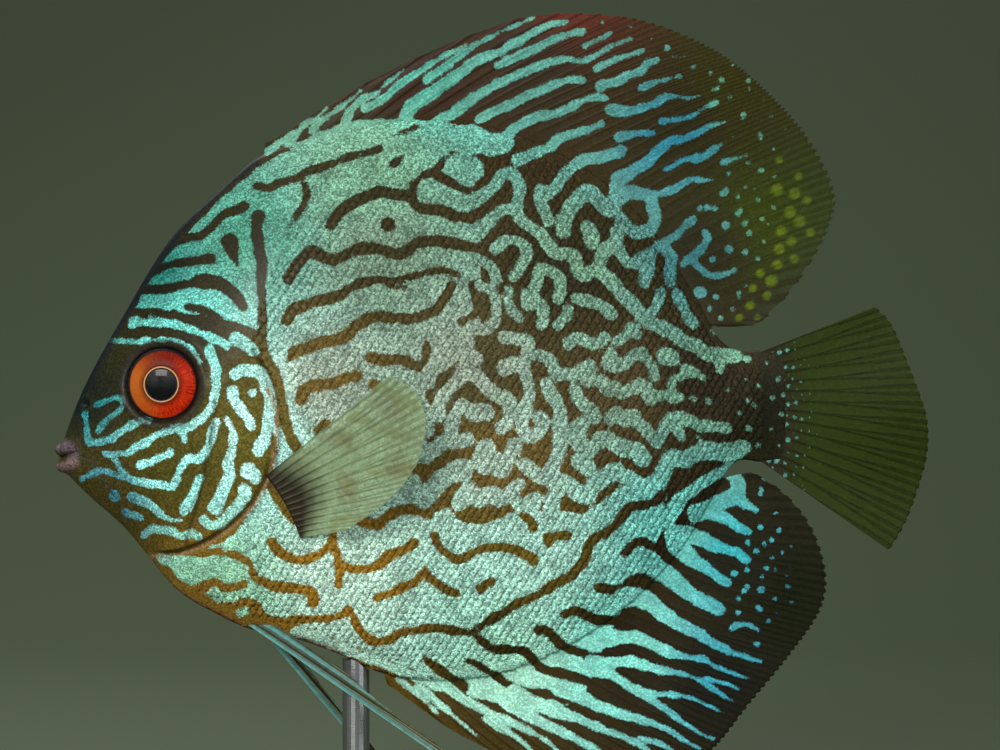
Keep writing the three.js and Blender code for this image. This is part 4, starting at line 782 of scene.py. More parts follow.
def markAt(x, z, side=leftSide):
    # the painting between its four nearest grid points, wandering a little on the right side
    x, z = np.asarray(x, float), np.asarray(z, float)
    if side == rightSide:
        wanderX, wanderZ = paintGrid["rightWarp"]
        waveX, waveZ = paintGrid["rightWave"]
        x, z = x + wanderX * np.sin(z / waveX), z + wanderZ * np.sin(x / waveZ + 1)
    step, low = paintGrid["step"], paintGrid["low"]
    column = np.clip((x - low[0]) / step, 0, patternField.shape[1] - 1.001)
    row = np.clip((z - low[1]) / step, 0, patternField.shape[0] - 1.001)
    i, j = row.astype(int), column.astype(int)
    a, b = row - i, column - j
    lower = patternField[i, j] * (1 - b) + patternField[i, j + 1] * b
    upper = patternField[i + 1, j] * (1 - b) + patternField[i + 1, j + 1] * b
    return lower * (1 - a) + upper * a


# The skin

head = {
    "eye": (-59.6, 92.5),
    # distance from the eye's middle, colour, half width, strength
    "lidRings": [(6.75, (12, 11, 10), 0.4, 0.95), (7.6, (38, 34, 28), 0.75, 0.8)],
    "nostril": (-74.3, 88.8),
    "mouth": (-79, 79.2),
    "mouthSlope": 0.25,
    "lipsFrom": -74.6,
    "lipsFull": -78.0,
    "gillEdge": [(-43.6, 99.6), (-40.8, 94), (-39.3, 88), (-39.2, 83), (-40.3, 77.6), (-42.6, 72.6),
                 (-46.2, 68.5), (-51, 65), (-56.5, 62.7), (-63, 61.6)],
    "cheekCrease": [(-49.3, 96), (-49.7, 90), (-50.4, 82), (-52.2, 75.5), (-54.2, 68.5), (-56.4, 63.5)],
    "reliefEnd": -34,  # no relief behind this X
    "plateFade": 8,
    "socket": (6.9, 5.6, 3.4),  # the radius where it starts, the radius where it is full, its depth
    # ridges and grooves by their place from the line or the middle, their width and their height
    "gillRidges": [(0.5, 0.55, -0.55)],
    "creaseRidges": [(-0.9, 0.7, 0.2), (0, 0.4, -0.4), (0.9, 0.6, 0.18)],
    "orbitRidges": [(7.8, 1.1, 0.5)],
    "nostrilRidges": [(1.05, 0.4, 0.28), (0, 0.6, -0.8)],
    "lipRidges": [(1.5, 1.0, 0.75), (-1.8, 1.15, 0.95), (0, 0.42, -0.85)],
}
gillEdgeLine = lineThrough(head["gillEdge"])
cheekLine = lineThrough(head["cheekCrease"])


def besideLine(x, z, line, count=80):
    # distance to the line, positive on the left of its direction, and the share along it at the nearest place
    points = line(np.linspace(0, 1, count))
    near = np.full(x.shape, 1e9)
    along, across = np.zeros(x.shape), np.zeros(x.shape)
    for k in range(count - 1):
        (x0, z0), (x1, z1) = points[k], points[k + 1]
        dx, dz = x1 - x0, z1 - z0
        s = np.clip(((x - x0) * dx + (z - z0) * dz) / (dx * dx + dz * dz), 0, 1)
        gone = np.hypot(x - x0 - s * dx, z - z0 - s * dz)
        closer = gone < near
        near = np.where(closer, gone, near)
        along = np.where(closer, (k + s) / (count - 1), along)
        across = np.where(closer, np.sign(dx * (z - z0) - dz * (x - x0)), across)
    return near * across, along


def ridges(distance, shapes):
    # the sum of height * bump(distance - place, width)
    return sum(height * bump(distance - place, width) for place, width, height in shapes)


def skinRelief(x, z):
    # heights in mm to add along the normal: gill cover, cheek crease, eye socket, nostril, lips and mouth
    relief = np.zeros(x.shape)
    close = x < head["reliefEnd"]
    px, pz = x[close], z[close]
    edge, along = besideLine(px, pz, gillEdgeLine)
    plate = smoothStep(-0.25, 0.35, -edge) * np.exp(-np.maximum(-edge, 0) / head["plateFade"])
    fade = smoothStep(0, 0.08, along) * smoothStep(1, 0.9, along)
    raised = fade * (plate + ridges(edge, head["gillRidges"]))
    crease, along = besideLine(px, pz, cheekLine)
    fade = smoothStep(0, 0.12, along) * smoothStep(1, 0.85, along)
    raised += fade * ridges(crease, head["creaseRidges"])
    fromEye = np.hypot(px - head["eye"][0], pz - head["eye"][1])
    start, full, depth = head["socket"]
    raised += ridges(fromEye, head["orbitRidges"]) - depth * smoothStep(start, full, fromEye)
    fromNostril = np.hypot(px - head["nostril"][0], pz - head["nostril"][1])
    raised += ridges(fromNostril, head["nostrilRidges"])
    level = pz - head["mouth"][1] - head["mouthSlope"] * (px - head["mouth"][0])
    raised += smoothStep(head["lipsFrom"], head["lipsFull"], px) * ridges(level, head["lipRidges"])
    relief[close] = raised
    return relief


skinGrid = {
    "nose": 12, "headRings": 112, "trunkRings": 136, "tail": 8, "around": 360,
    "headEnd": -40.0,
    "crowding": 0.3,  # how much closer the points stand near the back and the belly
    "noseReach": 0.9, "nosePower": 0.7,
    "tailReach": 5.0, "tailSlim": 0.9, "tailShrink": 0.05,
    "ridgeRound": 0.6,  # mm over which the back and the belly are rounded
    "nodes": ("head", "lower_jaw", "trunk", "tail_base", "gill_cover_left", "gill_cover_right"),
}


def skinPoints():
    # rings from the snout to the tail root: t runs from belly to back on the left, then back down the right
    count = skinGrid["around"] // 2
    share = (np.arange(count) + 0.5) / count
    crowding = skinGrid["crowding"]
    t = -1 + 2 * ((1 - crowding) * share + crowding * (1 - np.cos(np.pi * share)) / 2)
    t = np.concatenate([t, t[::-1]])
    side = np.repeat([leftSide, rightSide], count)
    front, rear = fishBody["frontX"], fishBody["rearX"]
    headX = np.linspace(front, skinGrid["headEnd"], skinGrid["headRings"], endpoint=False)
    trunkX = np.linspace(skinGrid["headEnd"], rear, skinGrid["trunkRings"])
    closing = np.linspace(0, 1, skinGrid["nose"] + 1)[1:][::-1] * math.pi / 2
    ending = np.linspace(0, 1, skinGrid["tail"] + 1)[1:]
    noseShare = np.cos(closing) ** skinGrid["nosePower"]
    middle = np.ones(len(headX) + len(trunkX))
    stations = np.concatenate([np.full(len(closing), front), headX, trunkX, np.full(len(ending), rear)])
    shrink = np.concatenate([noseShare, middle, 1 - skinGrid["tailShrink"] * ending])
    reach = np.sin(closing) * skinGrid["noseReach"]
    reach = np.concatenate([reach, 0 * middle, -ending * skinGrid["tailReach"]])
    slim = np.concatenate([np.maximum(noseShare, 0.02), middle, 1 - skinGrid["tailSlim"] * ending**0.9])
    x = np.repeat(stations[:, None], len(t), axis=1)
    top, bottom = backHeight(x), bellyHeight(x)
    z = (top + bottom) / 2 + (top - bottom) / 2 * t * shrink[:, None]
    half = halfWidth(x, (top + bottom) / 2 + (top - bottom) / 2 * t)
    cap = skinGrid["ridgeRound"] / (top - bottom) + 0.012
    rounding = np.sqrt(np.clip(1 - (np.clip((abs(t) - 1 + cap) / cap, 0, 1)) ** 2, 0.0004, 1))
    y = side * half * rounding * slim[:, None]
    points = np.stack([x - reach[:, None], y, z], axis=-1)
    ahead = np.gradient(points, axis=0)
    wrapped = np.concatenate([points[:, -1:], points, points[:, :1]], axis=1)
    beside = (wrapped[:, 2:] - wrapped[:, :-2]) / 2
    normal = np.cross(beside, ahead)
    normal /= np.linalg.norm(normal, axis=-1, keepdims=True) + 1e-12
    normal *= np.sign(np.sum(normal[:, :, 1] * side))
    return points, normal


def makeSkin():
    # the rings moved along their normals by the relief, half as far at the back and the belly
    points, normal = skinPoints()
    rings, around = points.shape[:2]
    relief = skinRelief(points[:, :, 0], points[:, :, 2])
    onFlankShare = np.where(abs(points[:, :, 1]) > 0.4, 1, 0.5)
    points = points + normal * (relief * onFlankShare)[:, :, None]
    flat = points.reshape(-1, 3)
    first, last = np.arange(around), np.arange(around) + (rings - 1) * around
    faces = [gridFaces(rings, around, wrap=True), first[None, ::-1], last[None, :]]
    skin = addMesh("skin", flat, facesOutward(flat, faces))
    x, y, z = flat.T
    dark, light = withAccents(x, z, *coloursAt(x, z))
    paintMarks(skin, np.where(y < 0, markAt(x, z, leftSide), markAt(x, z, rightSide)), dark, light)
    setUnwrap(skin, gridUnwrap(np.linspace(0.01, 0.99, rings), np.linspace(0.01, 0.99, around)))
    return finish(skin, "skin", *skinGrid["nodes"])


# Materials from nodes

def newMaterial(name, values):
    # values gives the shader's sockets their constants
    material = bpy.data.materials.new(name)
    material.use_nodes = True
    tree = material.node_tree
    shader = tree.nodes["Principled BSDF"]
    for key, value in values.items():
        shader.inputs[key].default_value = value
    return material, tree, shader


def addNode(tree, kind, links=(), **settings):
    # links pairs an input's name or number with another node's output or a plain value
    node = tree.nodes.new(kind)
    for key, value in settings.items():
        setattr(node, key, value)
    for key, value in dict(links).items():
        if isinstance(value, bpy.types.NodeSocket):
            tree.links.new(value, node.inputs[key])
        else:
            node.inputs[key].default_value = value
    return node


def attribute(tree, name, output="Fac"):
    # reads a value that setValue gave the piece
    return addNode(tree, "ShaderNodeAttribute", attribute_name=name).outputs[output]


def place(tree, scale=(1, 1, 1)):
    coordinates = addNode(tree, "ShaderNodeTexCoord").outputs["Object"]
    return addNode(tree, "ShaderNodeMapping", {"Vector": coordinates, "Scale": scale}).outputs["Vector"]


def noise(tree, where, scale, detail, rough=0.5):
    values = {"Vector": where, "Scale": scale, "Detail": detail, "Roughness": rough}
    return addNode(tree, "ShaderNodeTexNoise", values).outputs["Fac"]


def calculate(tree, operation, a, b=0.0, c=0.0):
    return addNode(tree, "ShaderNodeMath", {0: a, 1: b, 2: c}, operation=operation).outputs[0]


def mixColours(tree, share, a, b, blend="MIX"):
    # sockets 0, 6 and 7 take the share and the two colours, and 2 gives the mix
    values = {0: share, 6: a, 7: b}
    return addNode(tree, "ShaderNodeMix", values, data_type="RGBA", blend_type=blend).outputs[2]


def ramp(tree, value, low, high, fromLow=0.0, fromHigh=1.0):
    return addNode(tree, "ShaderNodeMapRange", {
        "Value": value, "From Min": fromLow, "From Max": fromHigh, "To Min": low, "To Max": high,
    }).outputs["Result"]


def addBump(tree, shader, height, distance, strength=1.0):
    node = addNode(tree, "ShaderNodeBump", {"Height": height, "Distance": distance, "Strength": strength})
    tree.links.new(node.outputs["Normal"], shader.inputs["Normal"])


skinLook = {
    "raggedCells": 2600.0, "raggedBy": 0.4, "edgeSoft": 0.14,
    "grain": 3700.0,  # shining cells to the metre
    "glintPower": 1.6,
    "turquoiseGlint": (0.5, 0.95),  # how much the dullest cell loses and the brightest gains
    "brownGlint": (0.36, 0.7),
    "blotchCells": 260.0, "blotch": (0.78, 1.22),
    "grainBump": 0.00005,
    "roughLight": 0.34, "roughDark": 0.5,
    "shader": {"Specular IOR Level": 0.1, "Coat Weight": 0.03, "Coat Roughness": 0.2},
}


def skinMaterial(name, grainShare=1.0, clear=False):
    # the marking's sign picks turquoise or brown, with ragged edges, and fine cells shine in both
    material, tree, shader = newMaterial(name, skinLook["shader"])
    where = place(tree)
    by = skinLook["raggedBy"]
    ragged = calculate(tree, "MULTIPLY_ADD", noise(tree, where, skinLook["raggedCells"], 2.0), 2 * by, -by)
    level = calculate(tree, "ADD", attribute(tree, "marking"), ragged)
    share = ramp(tree, level, 0.0, 1.0, -skinLook["edgeSoft"], skinLook["edgeSoft"])
    cells = addNode(tree, "ShaderNodeTexVoronoi", {"Vector": where, "Scale": skinLook["grain"]})
    sparkle = addNode(tree, "ShaderNodeSeparateColor", {"Color": cells.outputs["Color"]}).outputs["Red"]
    glint = calculate(tree, "POWER", sparkle, skinLook["glintPower"])
    loss, gain = skinLook["turquoiseGlint"]
    shine = ramp(tree, glint, 1 - loss * grainShare, 1 + gain * grainShare)
    blotch = ramp(tree, noise(tree, where, skinLook["blotchCells"], 3.0), *skinLook["blotch"], 0.3, 0.7)
    shine = calculate(tree, "MULTIPLY", shine, blotch)
    turquoise = mixColours(tree, 1.0, attribute(tree, "turquoise", "Color"), shine, "MULTIPLY")
    loss, gain = skinLook["brownGlint"]
    dull = ramp(tree, glint, 1 - loss * grainShare, 1 + gain * grainShare)
    brown = mixColours(tree, 1.0, attribute(tree, "brown", "Color"), dull, "MULTIPLY")
    tree.links.new(mixColours(tree, share, brown, turquoise), shader.inputs["Base Color"])
    rough = ramp(tree, share, skinLook["roughDark"], skinLook["roughLight"])
    tree.links.new(rough, shader.inputs["Roughness"])
    addBump(tree, shader, sparkle, skinLook["grainBump"], 0.5)
    if clear:
        tree.links.new(attribute(tree, "solidity"), shader.inputs["Alpha"])
    return material


skin = makeSkin()
skin.data.materials.append(skinMaterial("scaly_skin"))
print("skin made", len(skin.data.polygons))

# Fins in the middle plane

dorsalFin = {
    "name": "dorsal_fin",
    "nodes": ("dorsal_fin_spines", "dorsal_fin_rays"),
    "line": backHeight, "outward": 1,
    "rootSpan": (-42.6, 40.9),
    "edge": [(-43.2, 135.9), (-36.2, 140.2), (-30, 144.2), (-23.2, 148.1), (-13.4, 152.9), (-4.2, 156.8),
             (7.9, 160.4), (22.8, 160.2), (34.4, 157), (45.4, 150.8), (56.5, 140), (62.6, 128.5),
             (61.4, 120.6), (55.5, 110.6), (48.2, 103.2), (41.6, 100.6)],
    "sweep": [(0, 0.01), (0.184, 0.347), (0.3, 0.438), (0.42, 0.54), (0.75, 0.69), (0.87, 0.78), (0.96, 0.86),
              (1, 0.955)],
    "spines": 9, "softRays": 31, "split": 0.31,
    "fringe": lambda u: 0.25 + 0.7 * u,
    "wave": 0.8,
    "clearFrom": 0.5,
    "clearing": lambda u: (0.2 + 0.3 * smoothStep(0.55, 0.9, u)) * smoothStep(0.25, 0.7, u),
}
analFin = {
    "name": "anal_fin",
    "nodes": ("anal_fin_spines", "anal_fin_rays"),
    "line": bellyHeight, "outward": -1,
    "rootSpan": (-20.6, 42.4),
    "edge": [(-21, 38.6), (-15.3, 34.2), (-9.7, 30.2), (-4.2, 26.9), (8.6, 21.2), (23.4, 18.4), (38.1, 23.6),
             (47.6, 34.3), (54.6, 42.6), (60.1, 50.5), (61.3, 57.5), (58.7, 66), (53.7, 72.4), (46.9, 76.8),
             (43.2, 77.6)],
    "sweep": [(0, 0.015), (0.06, 0.19), (0.26, 0.42), (0.44, 0.53), (0.6, 0.635), (0.82, 0.768),
              (0.95, 0.885), (1, 0.965)],
    "spines": 7, "softRays": 28, "split": 0.2,
    "fringe": lambda u: 0.3 + 0.3 * u,
    "wave": 0.7,
    "clearFrom": 0.6,
    "clearing": lambda u: 0.25 * smoothStep(0.4, 0.9, u),
}
finMesh = {
    "columnsPerRay": 14, "rows": 66, "rowPower": 1.05, "rootSink": 1.3,
    "membraneHalf": 0.2, "edgeHalf": 0.12,
    "spineRidge": 0.22, "rayRidge": 0.1, "rayWidth": 0.14,
    "fork": 0.17, "secondFork": 0.13, "forkWidth": 0.05,  # shares of the way to the next ray
    "neckStart": 0.8, "neckFade": 2.6,  # mm out from the root over which the body's thickness dies away
    "lean": 0.025, "waves": 9,
}


def contourLine(height, span, off):
    # the body's back or belly line between two stations, moved off it along its normal
    x = np.linspace(span[0], span[1], 200)
    slope = (height(x + 0.05) - height(x - 0.05)) / 0.1
    length = np.hypot(1, slope)
    return lineThrough(np.stack([x - slope / length * off, height(x) + off / length], axis=-1)[::4])


def rayShape(phase, v, spine):
    # phase runs 0 to 1 from one ray to the next: a spine is one crest, a soft ray forks twice on its way out
    off = np.minimum(phase, 1 - phase)
    plain = bump(off, finMesh["rayWidth"])
    fork = finMesh["fork"] * smoothStep(0.3, 0.75, v)
    forked = bump(off - fork, finMesh["forkWidth"] * (2 - v))
    second = finMesh["secondFork"] * smoothStep(0.55, 0.9, v)
    forked = np.maximum(forked, bump(off - fork - second, finMesh["forkWidth"]))
    return np.where(spine, plain, np.maximum(forked, plain * (1 - smoothStep(0.25, 0.5, v))))


def middleFin(name, fin, rootAt, tipAt, fanned=False):
    # a leaf between a root line and an outline: x, z = root + (tip - root) v, its thickness from the rays
    perRay = finMesh["columnsPerRay"]
    spines, soft, split = fin["spines"], fin["softRays"], fin["split"]
    rays = np.concatenate([np.linspace(0, split, spines, endpoint=False), np.linspace(split, 1, soft)])
    columns = np.linspace(0, len(rays) - 1, (len(rays) - 1) * perRay + 1)
    u = np.interp(columns, np.arange(len(rays)), rays)[:, None]
    phase = (columns % 1)[:, None]
    spine = u < split
    v = np.linspace(0, 1, finMesh["rows"])[None, :] ** finMesh["rowPower"]
    crest = rayShape(phase, v, spine)
    tipCrest = rayShape(phase, np.ones_like(v[:, :1]), spine)
    root, tip = rootAt(u[:, 0]), tipAt(u[:, 0])
    along = tip - root
    length = np.linalg.norm(along, axis=1)
    reach = 1 + fin["fringe"](u[:, 0]) * (tipCrest[:, 0] - 0.6) / length
    lean = 0 if fanned else np.sin(np.pi * v) * finMesh["lean"]
    sign = np.sign(along[:, 1])[:, None]
    x = root[:, :1] + along[:, :1] * v * reach[:, None] - along[:, 1:] * lean * sign
    z = root[:, 1:] + along[:, 1:] * v * reach[:, None] + along[:, :1] * lean * sign
    away = v * length[:, None]
    neck = np.exp(-np.maximum(away - finMesh["neckStart"], 0) / finMesh["neckFade"])
    ridge = np.where(spine, finMesh["spineRidge"], finMesh["rayRidge"])
    half = finMesh["membraneHalf"] * (1 - v) + finMesh["edgeHalf"] * v
    half = half + (fishBody["ridgeHalf"] - 0.25) * neck
    half = half + crest * ridge * (1 - 0.7 * v) * (1 - np.exp(-away / 2.5))
    swing = fin["wave"] * np.sin(u * finMesh["waves"] + 1.1 * v) * smoothStep(0.15, 1, v)
    near = np.stack([x, swing - half, z], axis=-1)
    far = np.stack([x, swing + half, z], axis=-1)
    return leaf(name, near, far), u, v, crest, x, z


def leaf(name, near, far):
    # two alike grids back to back, closed along the tips, the roots and both ends
    points = np.concatenate([near, far[:, ::-1]], axis=1)
    columns, around = points.shape[:2]
    rows = around // 2
    flat = points.reshape(-1, 3)
    ends = []
    for start in (0, (columns - 1) * around):
        a = start + np.arange(rows - 1)
        b = start + around - 1 - np.arange(rows - 1)
        quad = np.stack([a, a + 1, b - 1, b], axis=-1)
        ends.append(quad[:, ::-1] if start == 0 else quad)
    faces = [gridFaces(columns, around, wrap=True)] + ends
    piece = addMesh(name, flat, facesOutward(flat, faces))
    v = np.concatenate([np.linspace(0.01, 0.485, rows), np.linspace(0.515, 0.99, rows)])
    setUnwrap(piece, gridUnwrap(np.linspace(0.01, 0.99, columns), v))
    return piece


def bothFaces(value):
    # numbers or colours of one face of a leaf, laid out for both
    return np.concatenate([value, value[:, ::-1]], axis=1).reshape(-1, *value.shape[2:])


finWindows = {
    # clear round panes between the rear rays of the dorsal fin, each with its radius
    "colour": (96, 116, 2), "strength": 0.85, "clearer": 0.2,
    "panes": [(52.3, 128.3, 1.1), (55.5, 127.6, 1.0), (57.8, 126.4, 0.8), (54.7, 124.2, 1.1),
              (56.4, 122.5, 1.1), (53.1, 120.7, 1.0), (54.9, 118.8, 0.9), (52.7, 117.4, 1.0),
              (52.3, 114.5, 0.9), (49.2, 112.9, 0.8), (51.2, 111.5, 1.1), (47.8, 110.2, 0.7),
              (47.3, 107, 0.8), (45.3, 104.7, 0.7), (52.7, 133.8, 0.7), (56.2, 130.8, 0.7),
              (58.4, 120.4, 0.8), (55.4, 115.6, 0.8), (50.4, 108.8, 0.8), (48.6, 104.8, 0.6)],
}
rayShade = {"brown": 0.45, "turquoise": 0.2}  # how much darker the outer rays are


def paintFin(piece, v, crest, x, z, solidity):
    # the painting of each side over the fin, with darker rays
    # solidity is 1 where nothing shines through
    left = markAt(x, z, leftSide)
    right = markAt(x, z, rightSide)
    dark, light = [colours.reshape(x.shape + (3,)) for colours in coloursAt(x, z)]
    pane = np.zeros(x.shape)
    for paneX, paneZ, size in finWindows["panes"]:
        pane = np.maximum(pane, smoothStep(1.2, 0.7, np.hypot(x - paneX, z - paneZ) / size))
    dark = lay(finWindows["colour"], dark, pane * finWindows["strength"])
    outer = (smoothStep(0.35, 0.8, v) * crest + 0 * x)[..., None]
    dark = dark * (1 - rayShade["brown"] * outer)
    light = light * (1 - rayShade["turquoise"] * outer)
    mark = np.concatenate([left, right[:, ::-1]], axis=1).ravel()
    paintMarks(piece, mark, bothFaces(dark), bothFaces(light))
    setValue(piece, "solidity", bothFaces(solidity * (1 - finWindows["clearer"] * pane) + 0 * x))


def makeRootedFin(fin):
    # its root is sunk in the body, and between the rays it clears toward the rim
    rootAt = contourLine(fin["line"], fin["rootSpan"], -fin["outward"] * finMesh["rootSink"])
    edge, sweep = lineThrough(fin["edge"]), curveThrough(fin["sweep"])
    piece, u, v, crest, x, z = middleFin(fin["name"], fin, rootAt, lambda s: edge(sweep(s)))
    clear = fin["clearing"](u) * (1 - crest) * smoothStep(fin["clearFrom"], 0.95, v)
    paintFin(piece, v, crest, x, z, 1 - clear)
    return finish(piece, "fin_skin", *fin["nodes"])


finMaterial = skinMaterial("fin_skin", 0.5, clear=True)
for fin in (dorsalFin, analFin):
    made = makeRootedFin(fin)
    made.data.materials.append(finMaterial)
    print(made.name, "made", len(made.data.polygons))

# Clear fins: tail, pectorals and pelvics

tailFin = {
    "nodes": ("tail_fin",),
    "edge": [(70.4, 106.8), (73.6, 103.2), (77.1, 94.2), (79.6, 86.8), (80, 80.5), (78.7, 74.4), (76, 67.2),
             (72.8, 62)],
    "spines": 0, "softRays": 15, "split": 0.0,
    "fringe": lambda u: 0.3 + 0 * u,
    "wave": 0.9,
    "membrane": (42, 56, 4), "root": (40, 34, 22), "rays": (12, 14, 3), "specks": (88, 150, 140),
    "clearest": 0.72, "rayStrength": 0.85,
    "speckSpacing": (1.5, 1.35), "speckSize": 0.34, "speckEnd": 0.42,
}
pectoralFins = {
    "root": [(-40.6, 76.2), (-38, 72.4), (-36, 68.6), (-34.6, 64.9)],
    "edge": [(-18, 94.2), (-13.6, 91.6), (-11.6, 87), (-12.2, 81.4), (-14.6, 76.2), (-19.6, 71),
             (-26.4, 66.4)],
    "rays": 13, "fringe": 0.4,
    "start": lambda x, z: halfWidth(x, z) - 0.3,
    "splay": lambda v, length: 2.6 * v + 0.36 * length * v * v,
    "membrane": (160, 184, 138), "mottle": (112, 84, 40), "base": (40, 32, 18), "rayColour": (50, 56, 34),
    "rayStrength": 0.75, "mottleStrength": 0.4, "clearest": 0.42,
}
pelvicFins = {
    "roots": {leftSide: [(-44.6, 48.6), (-42, 48.6), (-39.6, 48.4)],
              rightSide: [(-44, 48.4), (-41.6, 48.4), (-39.4, 48.2)]},
    "edges": {leftSide: [(-2.6, 20.6), (-9.6, 27.2), (-19.4, 34), (-27.4, 40.6)],
              rightSide: [(-18, 16), (-22.4, 24.6), (-28.4, 31.6), (-33.4, 38.4)]},
    "rays": 6, "fringe": 0.8,
    "start": lambda x, z: 3.4 + 0 * x,
    "splay": lambda v, length: 0.16 * length * v,
    "pale": (96, 170, 168), "dark": (34, 28, 18), "rayColour": (140, 150, 96),
    "rayStrength": 0.5, "clearest": 0.85,
}
pairedMesh = {
    "rows": 60, "columnsPerRay": 14,
    "rootHalf": 1.0, "membraneHalf": 0.16, "edgeHalf": 0.1, "ridge": 0.17,
}


def tailSpecks(x, z, v):
    # one round speck in each cell of a grid, moved off its middle and sized by sines of the cell's number
    alongStep, acrossStep = tailFin["speckSpacing"]
    i, j = np.round(x / alongStep), np.round(z / acrossStep)
    centreX = i * alongStep + 0.42 * np.sin(i * 12.9 + j * 78.2)
    centreZ = j * acrossStep + 0.38 * np.sin(i * 39.3 + j * 11.1)
    size = tailFin["speckSize"] * (1 + np.sin(i * 5.3 + j * 27.7)) - 0.12
    specks = size * smoothStep(tailFin["speckEnd"], 0.1, v) - np.hypot(x - centreX, z - centreZ)
    return np.where(v < tailFin["speckEnd"], specks, -1) + 0 * x


def makeTailFin():
    # a fan from the tail root, with dark rays and pale specks near its base
    x0 = fishBody["rearX"] - 0.4
    top, bottom = float(backHeight(x0)) - 0.6, float(bellyHeight(x0)) + 0.6
    rootAt = lambda s: np.stack([np.full_like(s, x0), top + (bottom - top) * s], axis=-1)
    edge = lineThrough(tailFin["edge"])
    piece, u, v, crest, x, z = middleFin("tail_fin_skin", tailFin, rootAt, edge, fanned=True)
    near = smoothStep(0.36, 0.1, v) + 0 * x
    streak = tailFin["rayStrength"] * crest**1.6 * smoothStep(0.05, 0.3, v) + 0 * x
    brown = lay(tailFin["root"], linear(*tailFin["membrane"]), near)
    brown = lay(tailFin["rays"], brown, streak)
    light = np.broadcast_to(linear(*tailFin["specks"]), brown.shape)
    clearest = tailFin["clearest"]
    paintMarks(piece, bothFaces(tailSpecks(x, z, v)), bothFaces(brown), bothFaces(light))
    setValue(piece, "solidity", bothFaces(clearest + (1 - clearest) * np.maximum(crest, near)))
    return finish(piece, "clear_fin", *tailFin["nodes"])


def pairedFin(name, fin, root, edge, side):
    # as a middle fin, but each point also stands away from the flank: y = start + splay(v, length)
    gaps, perRay = fin["rays"] - 1, pairedMesh["columnsPerRay"]
    columns = np.linspace(0, gaps, gaps * perRay + 1)
    u = (columns / gaps)[:, None]
    phase = (columns % 1)[:, None]
    v = np.linspace(0, 1, pairedMesh["rows"])[None, :]
    spine = np.zeros_like(u, bool)
    crest = rayShape(phase, v, spine)
    start, tip = lineThrough(root)(u[:, 0]), lineThrough(edge)(u[:, 0])
    along = tip - start
    length = np.linalg.norm(along, axis=1)[:, None]
    reach = 1 + fin["fringe"] * (rayShape(phase, np.ones((1, 1)), spine) - 0.6) / length
    x = start[:, :1] + along[:, :1] * v * reach
    z = start[:, 1:] + along[:, 1:] * v * reach
    membrane = pairedMesh["membraneHalf"]
    half = membrane * (1 - v) + pairedMesh["edgeHalf"] * v
    half = half + (pairedMesh["rootHalf"] - membrane) * np.exp(-v * 8)
    half = half + crest * pairedMesh["ridge"] * (1 - 0.6 * v)
    y = fin["start"](x, z) + fin["splay"](v, length)
    near = np.stack([x, side * (y + half), z], axis=-1)
    far = np.stack([x, side * (y - half), z], axis=-1)
    return leaf(name, near, far), u, v, crest, x, z


def paintClear(piece, fin, crest, membrane, solidity):
    # the membrane's colour, under the rays' colour by their crest
    shape = crest.shape
    colour = lay(fin["rayColour"], membrane, fin["rayStrength"] * crest)
    setValue(piece, "colour", bothFaces(np.broadcast_to(colour, shape + (3,))), "FLOAT_COLOR")
    setValue(piece, "solidity", bothFaces(np.broadcast_to(np.clip(solidity, 0, 1), shape)))


def makePectoral(side):
    # soft brown blotches on a pale membrane, a dark fleshy base and fine dark rays
    word = sideWord[side]
    fin = pectoralFins
    piece, u, v, crest, x, z = pairedFin("pectoral_" + word, fin, fin["root"], fin["edge"], side)
    base = smoothStep(0.4, 0.1, v + 0.1 * (1 - np.sin(np.pi * u)) - 0.05 * crest)
    mottle = 0.5 + 0.5 * np.sin(x * 0.5 + z * 0.35 + 1.6 * np.sin(z * 0.3 - x * 0.2))
    mottle = smoothStep(0.4, 0.9, mottle) * smoothStep(0.1, 0.3, v) * (0.6 + 0.4 * np.sin(z * 0.6 - x * 0.3))
    membrane = lay(fin["mottle"], linear(*fin["membrane"]), fin["mottleStrength"] * mottle)
    membrane = lay(fin["base"], membrane, base)
    fine = crest**2.2
    paintClear(piece, fin, fine, membrane, fin["clearest"] + 0.45 * fine + 0.6 * base + 0.08 * mottle)
    return finish(piece, "clear_fin", "pectoral_fin_" + word)


def makePelvic(side):
    # long ribbons, pale and dark in turn by a cosine across them
    word = sideWord[side]
    fin = pelvicFins
    piece, u, v, crest, x, z = pairedFin("pelvic_" + word, fin, fin["roots"][side], fin["edges"][side], side)
    pale = np.clip(0.45 - 0.4 * v + 0.45 * np.cos(u * 9), 0, 1)
    membrane = lay(fin["pale"], linear(*fin["dark"]), pale)
    paintClear(piece, fin, crest, membrane, fin["clearest"] + 0.2 * crest)
    return finish(piece, "clear_fin", "pelvic_fin_" + word)


def clearMaterial():
    # the painted colour, a little uneven, and clear where its solidity is low
    material, tree, shader = newMaterial("clear_fin", {"Roughness": 0.5, "Specular IOR Level": 0.2})
    streaks = noise(tree, place(tree), 900.0, 3.0)
    shade = ramp(tree, streaks, 0.8, 1.2, 0.3, 0.7)
    colour = mixColours(tree, 1.0, attribute(tree, "colour", "Color"), shade, "MULTIPLY")
    tree.links.new(colour, shader.inputs["Base Color"])
    tree.links.new(attribute(tree, "solidity"), shader.inputs["Alpha"])
    addBump(tree, shader, streaks, 0.00004, 0.4)
    return material


tail = makeTailFin()
tail.data.materials.append(finMaterial)
clearFinMaterial = clearMaterial()
for side in (leftSide, rightSide):
    for makePair in (makePectoral, makePelvic):
        makePair(side).data.materials.append(clearFinMaterial)
print("clear fins made")

# Eyes

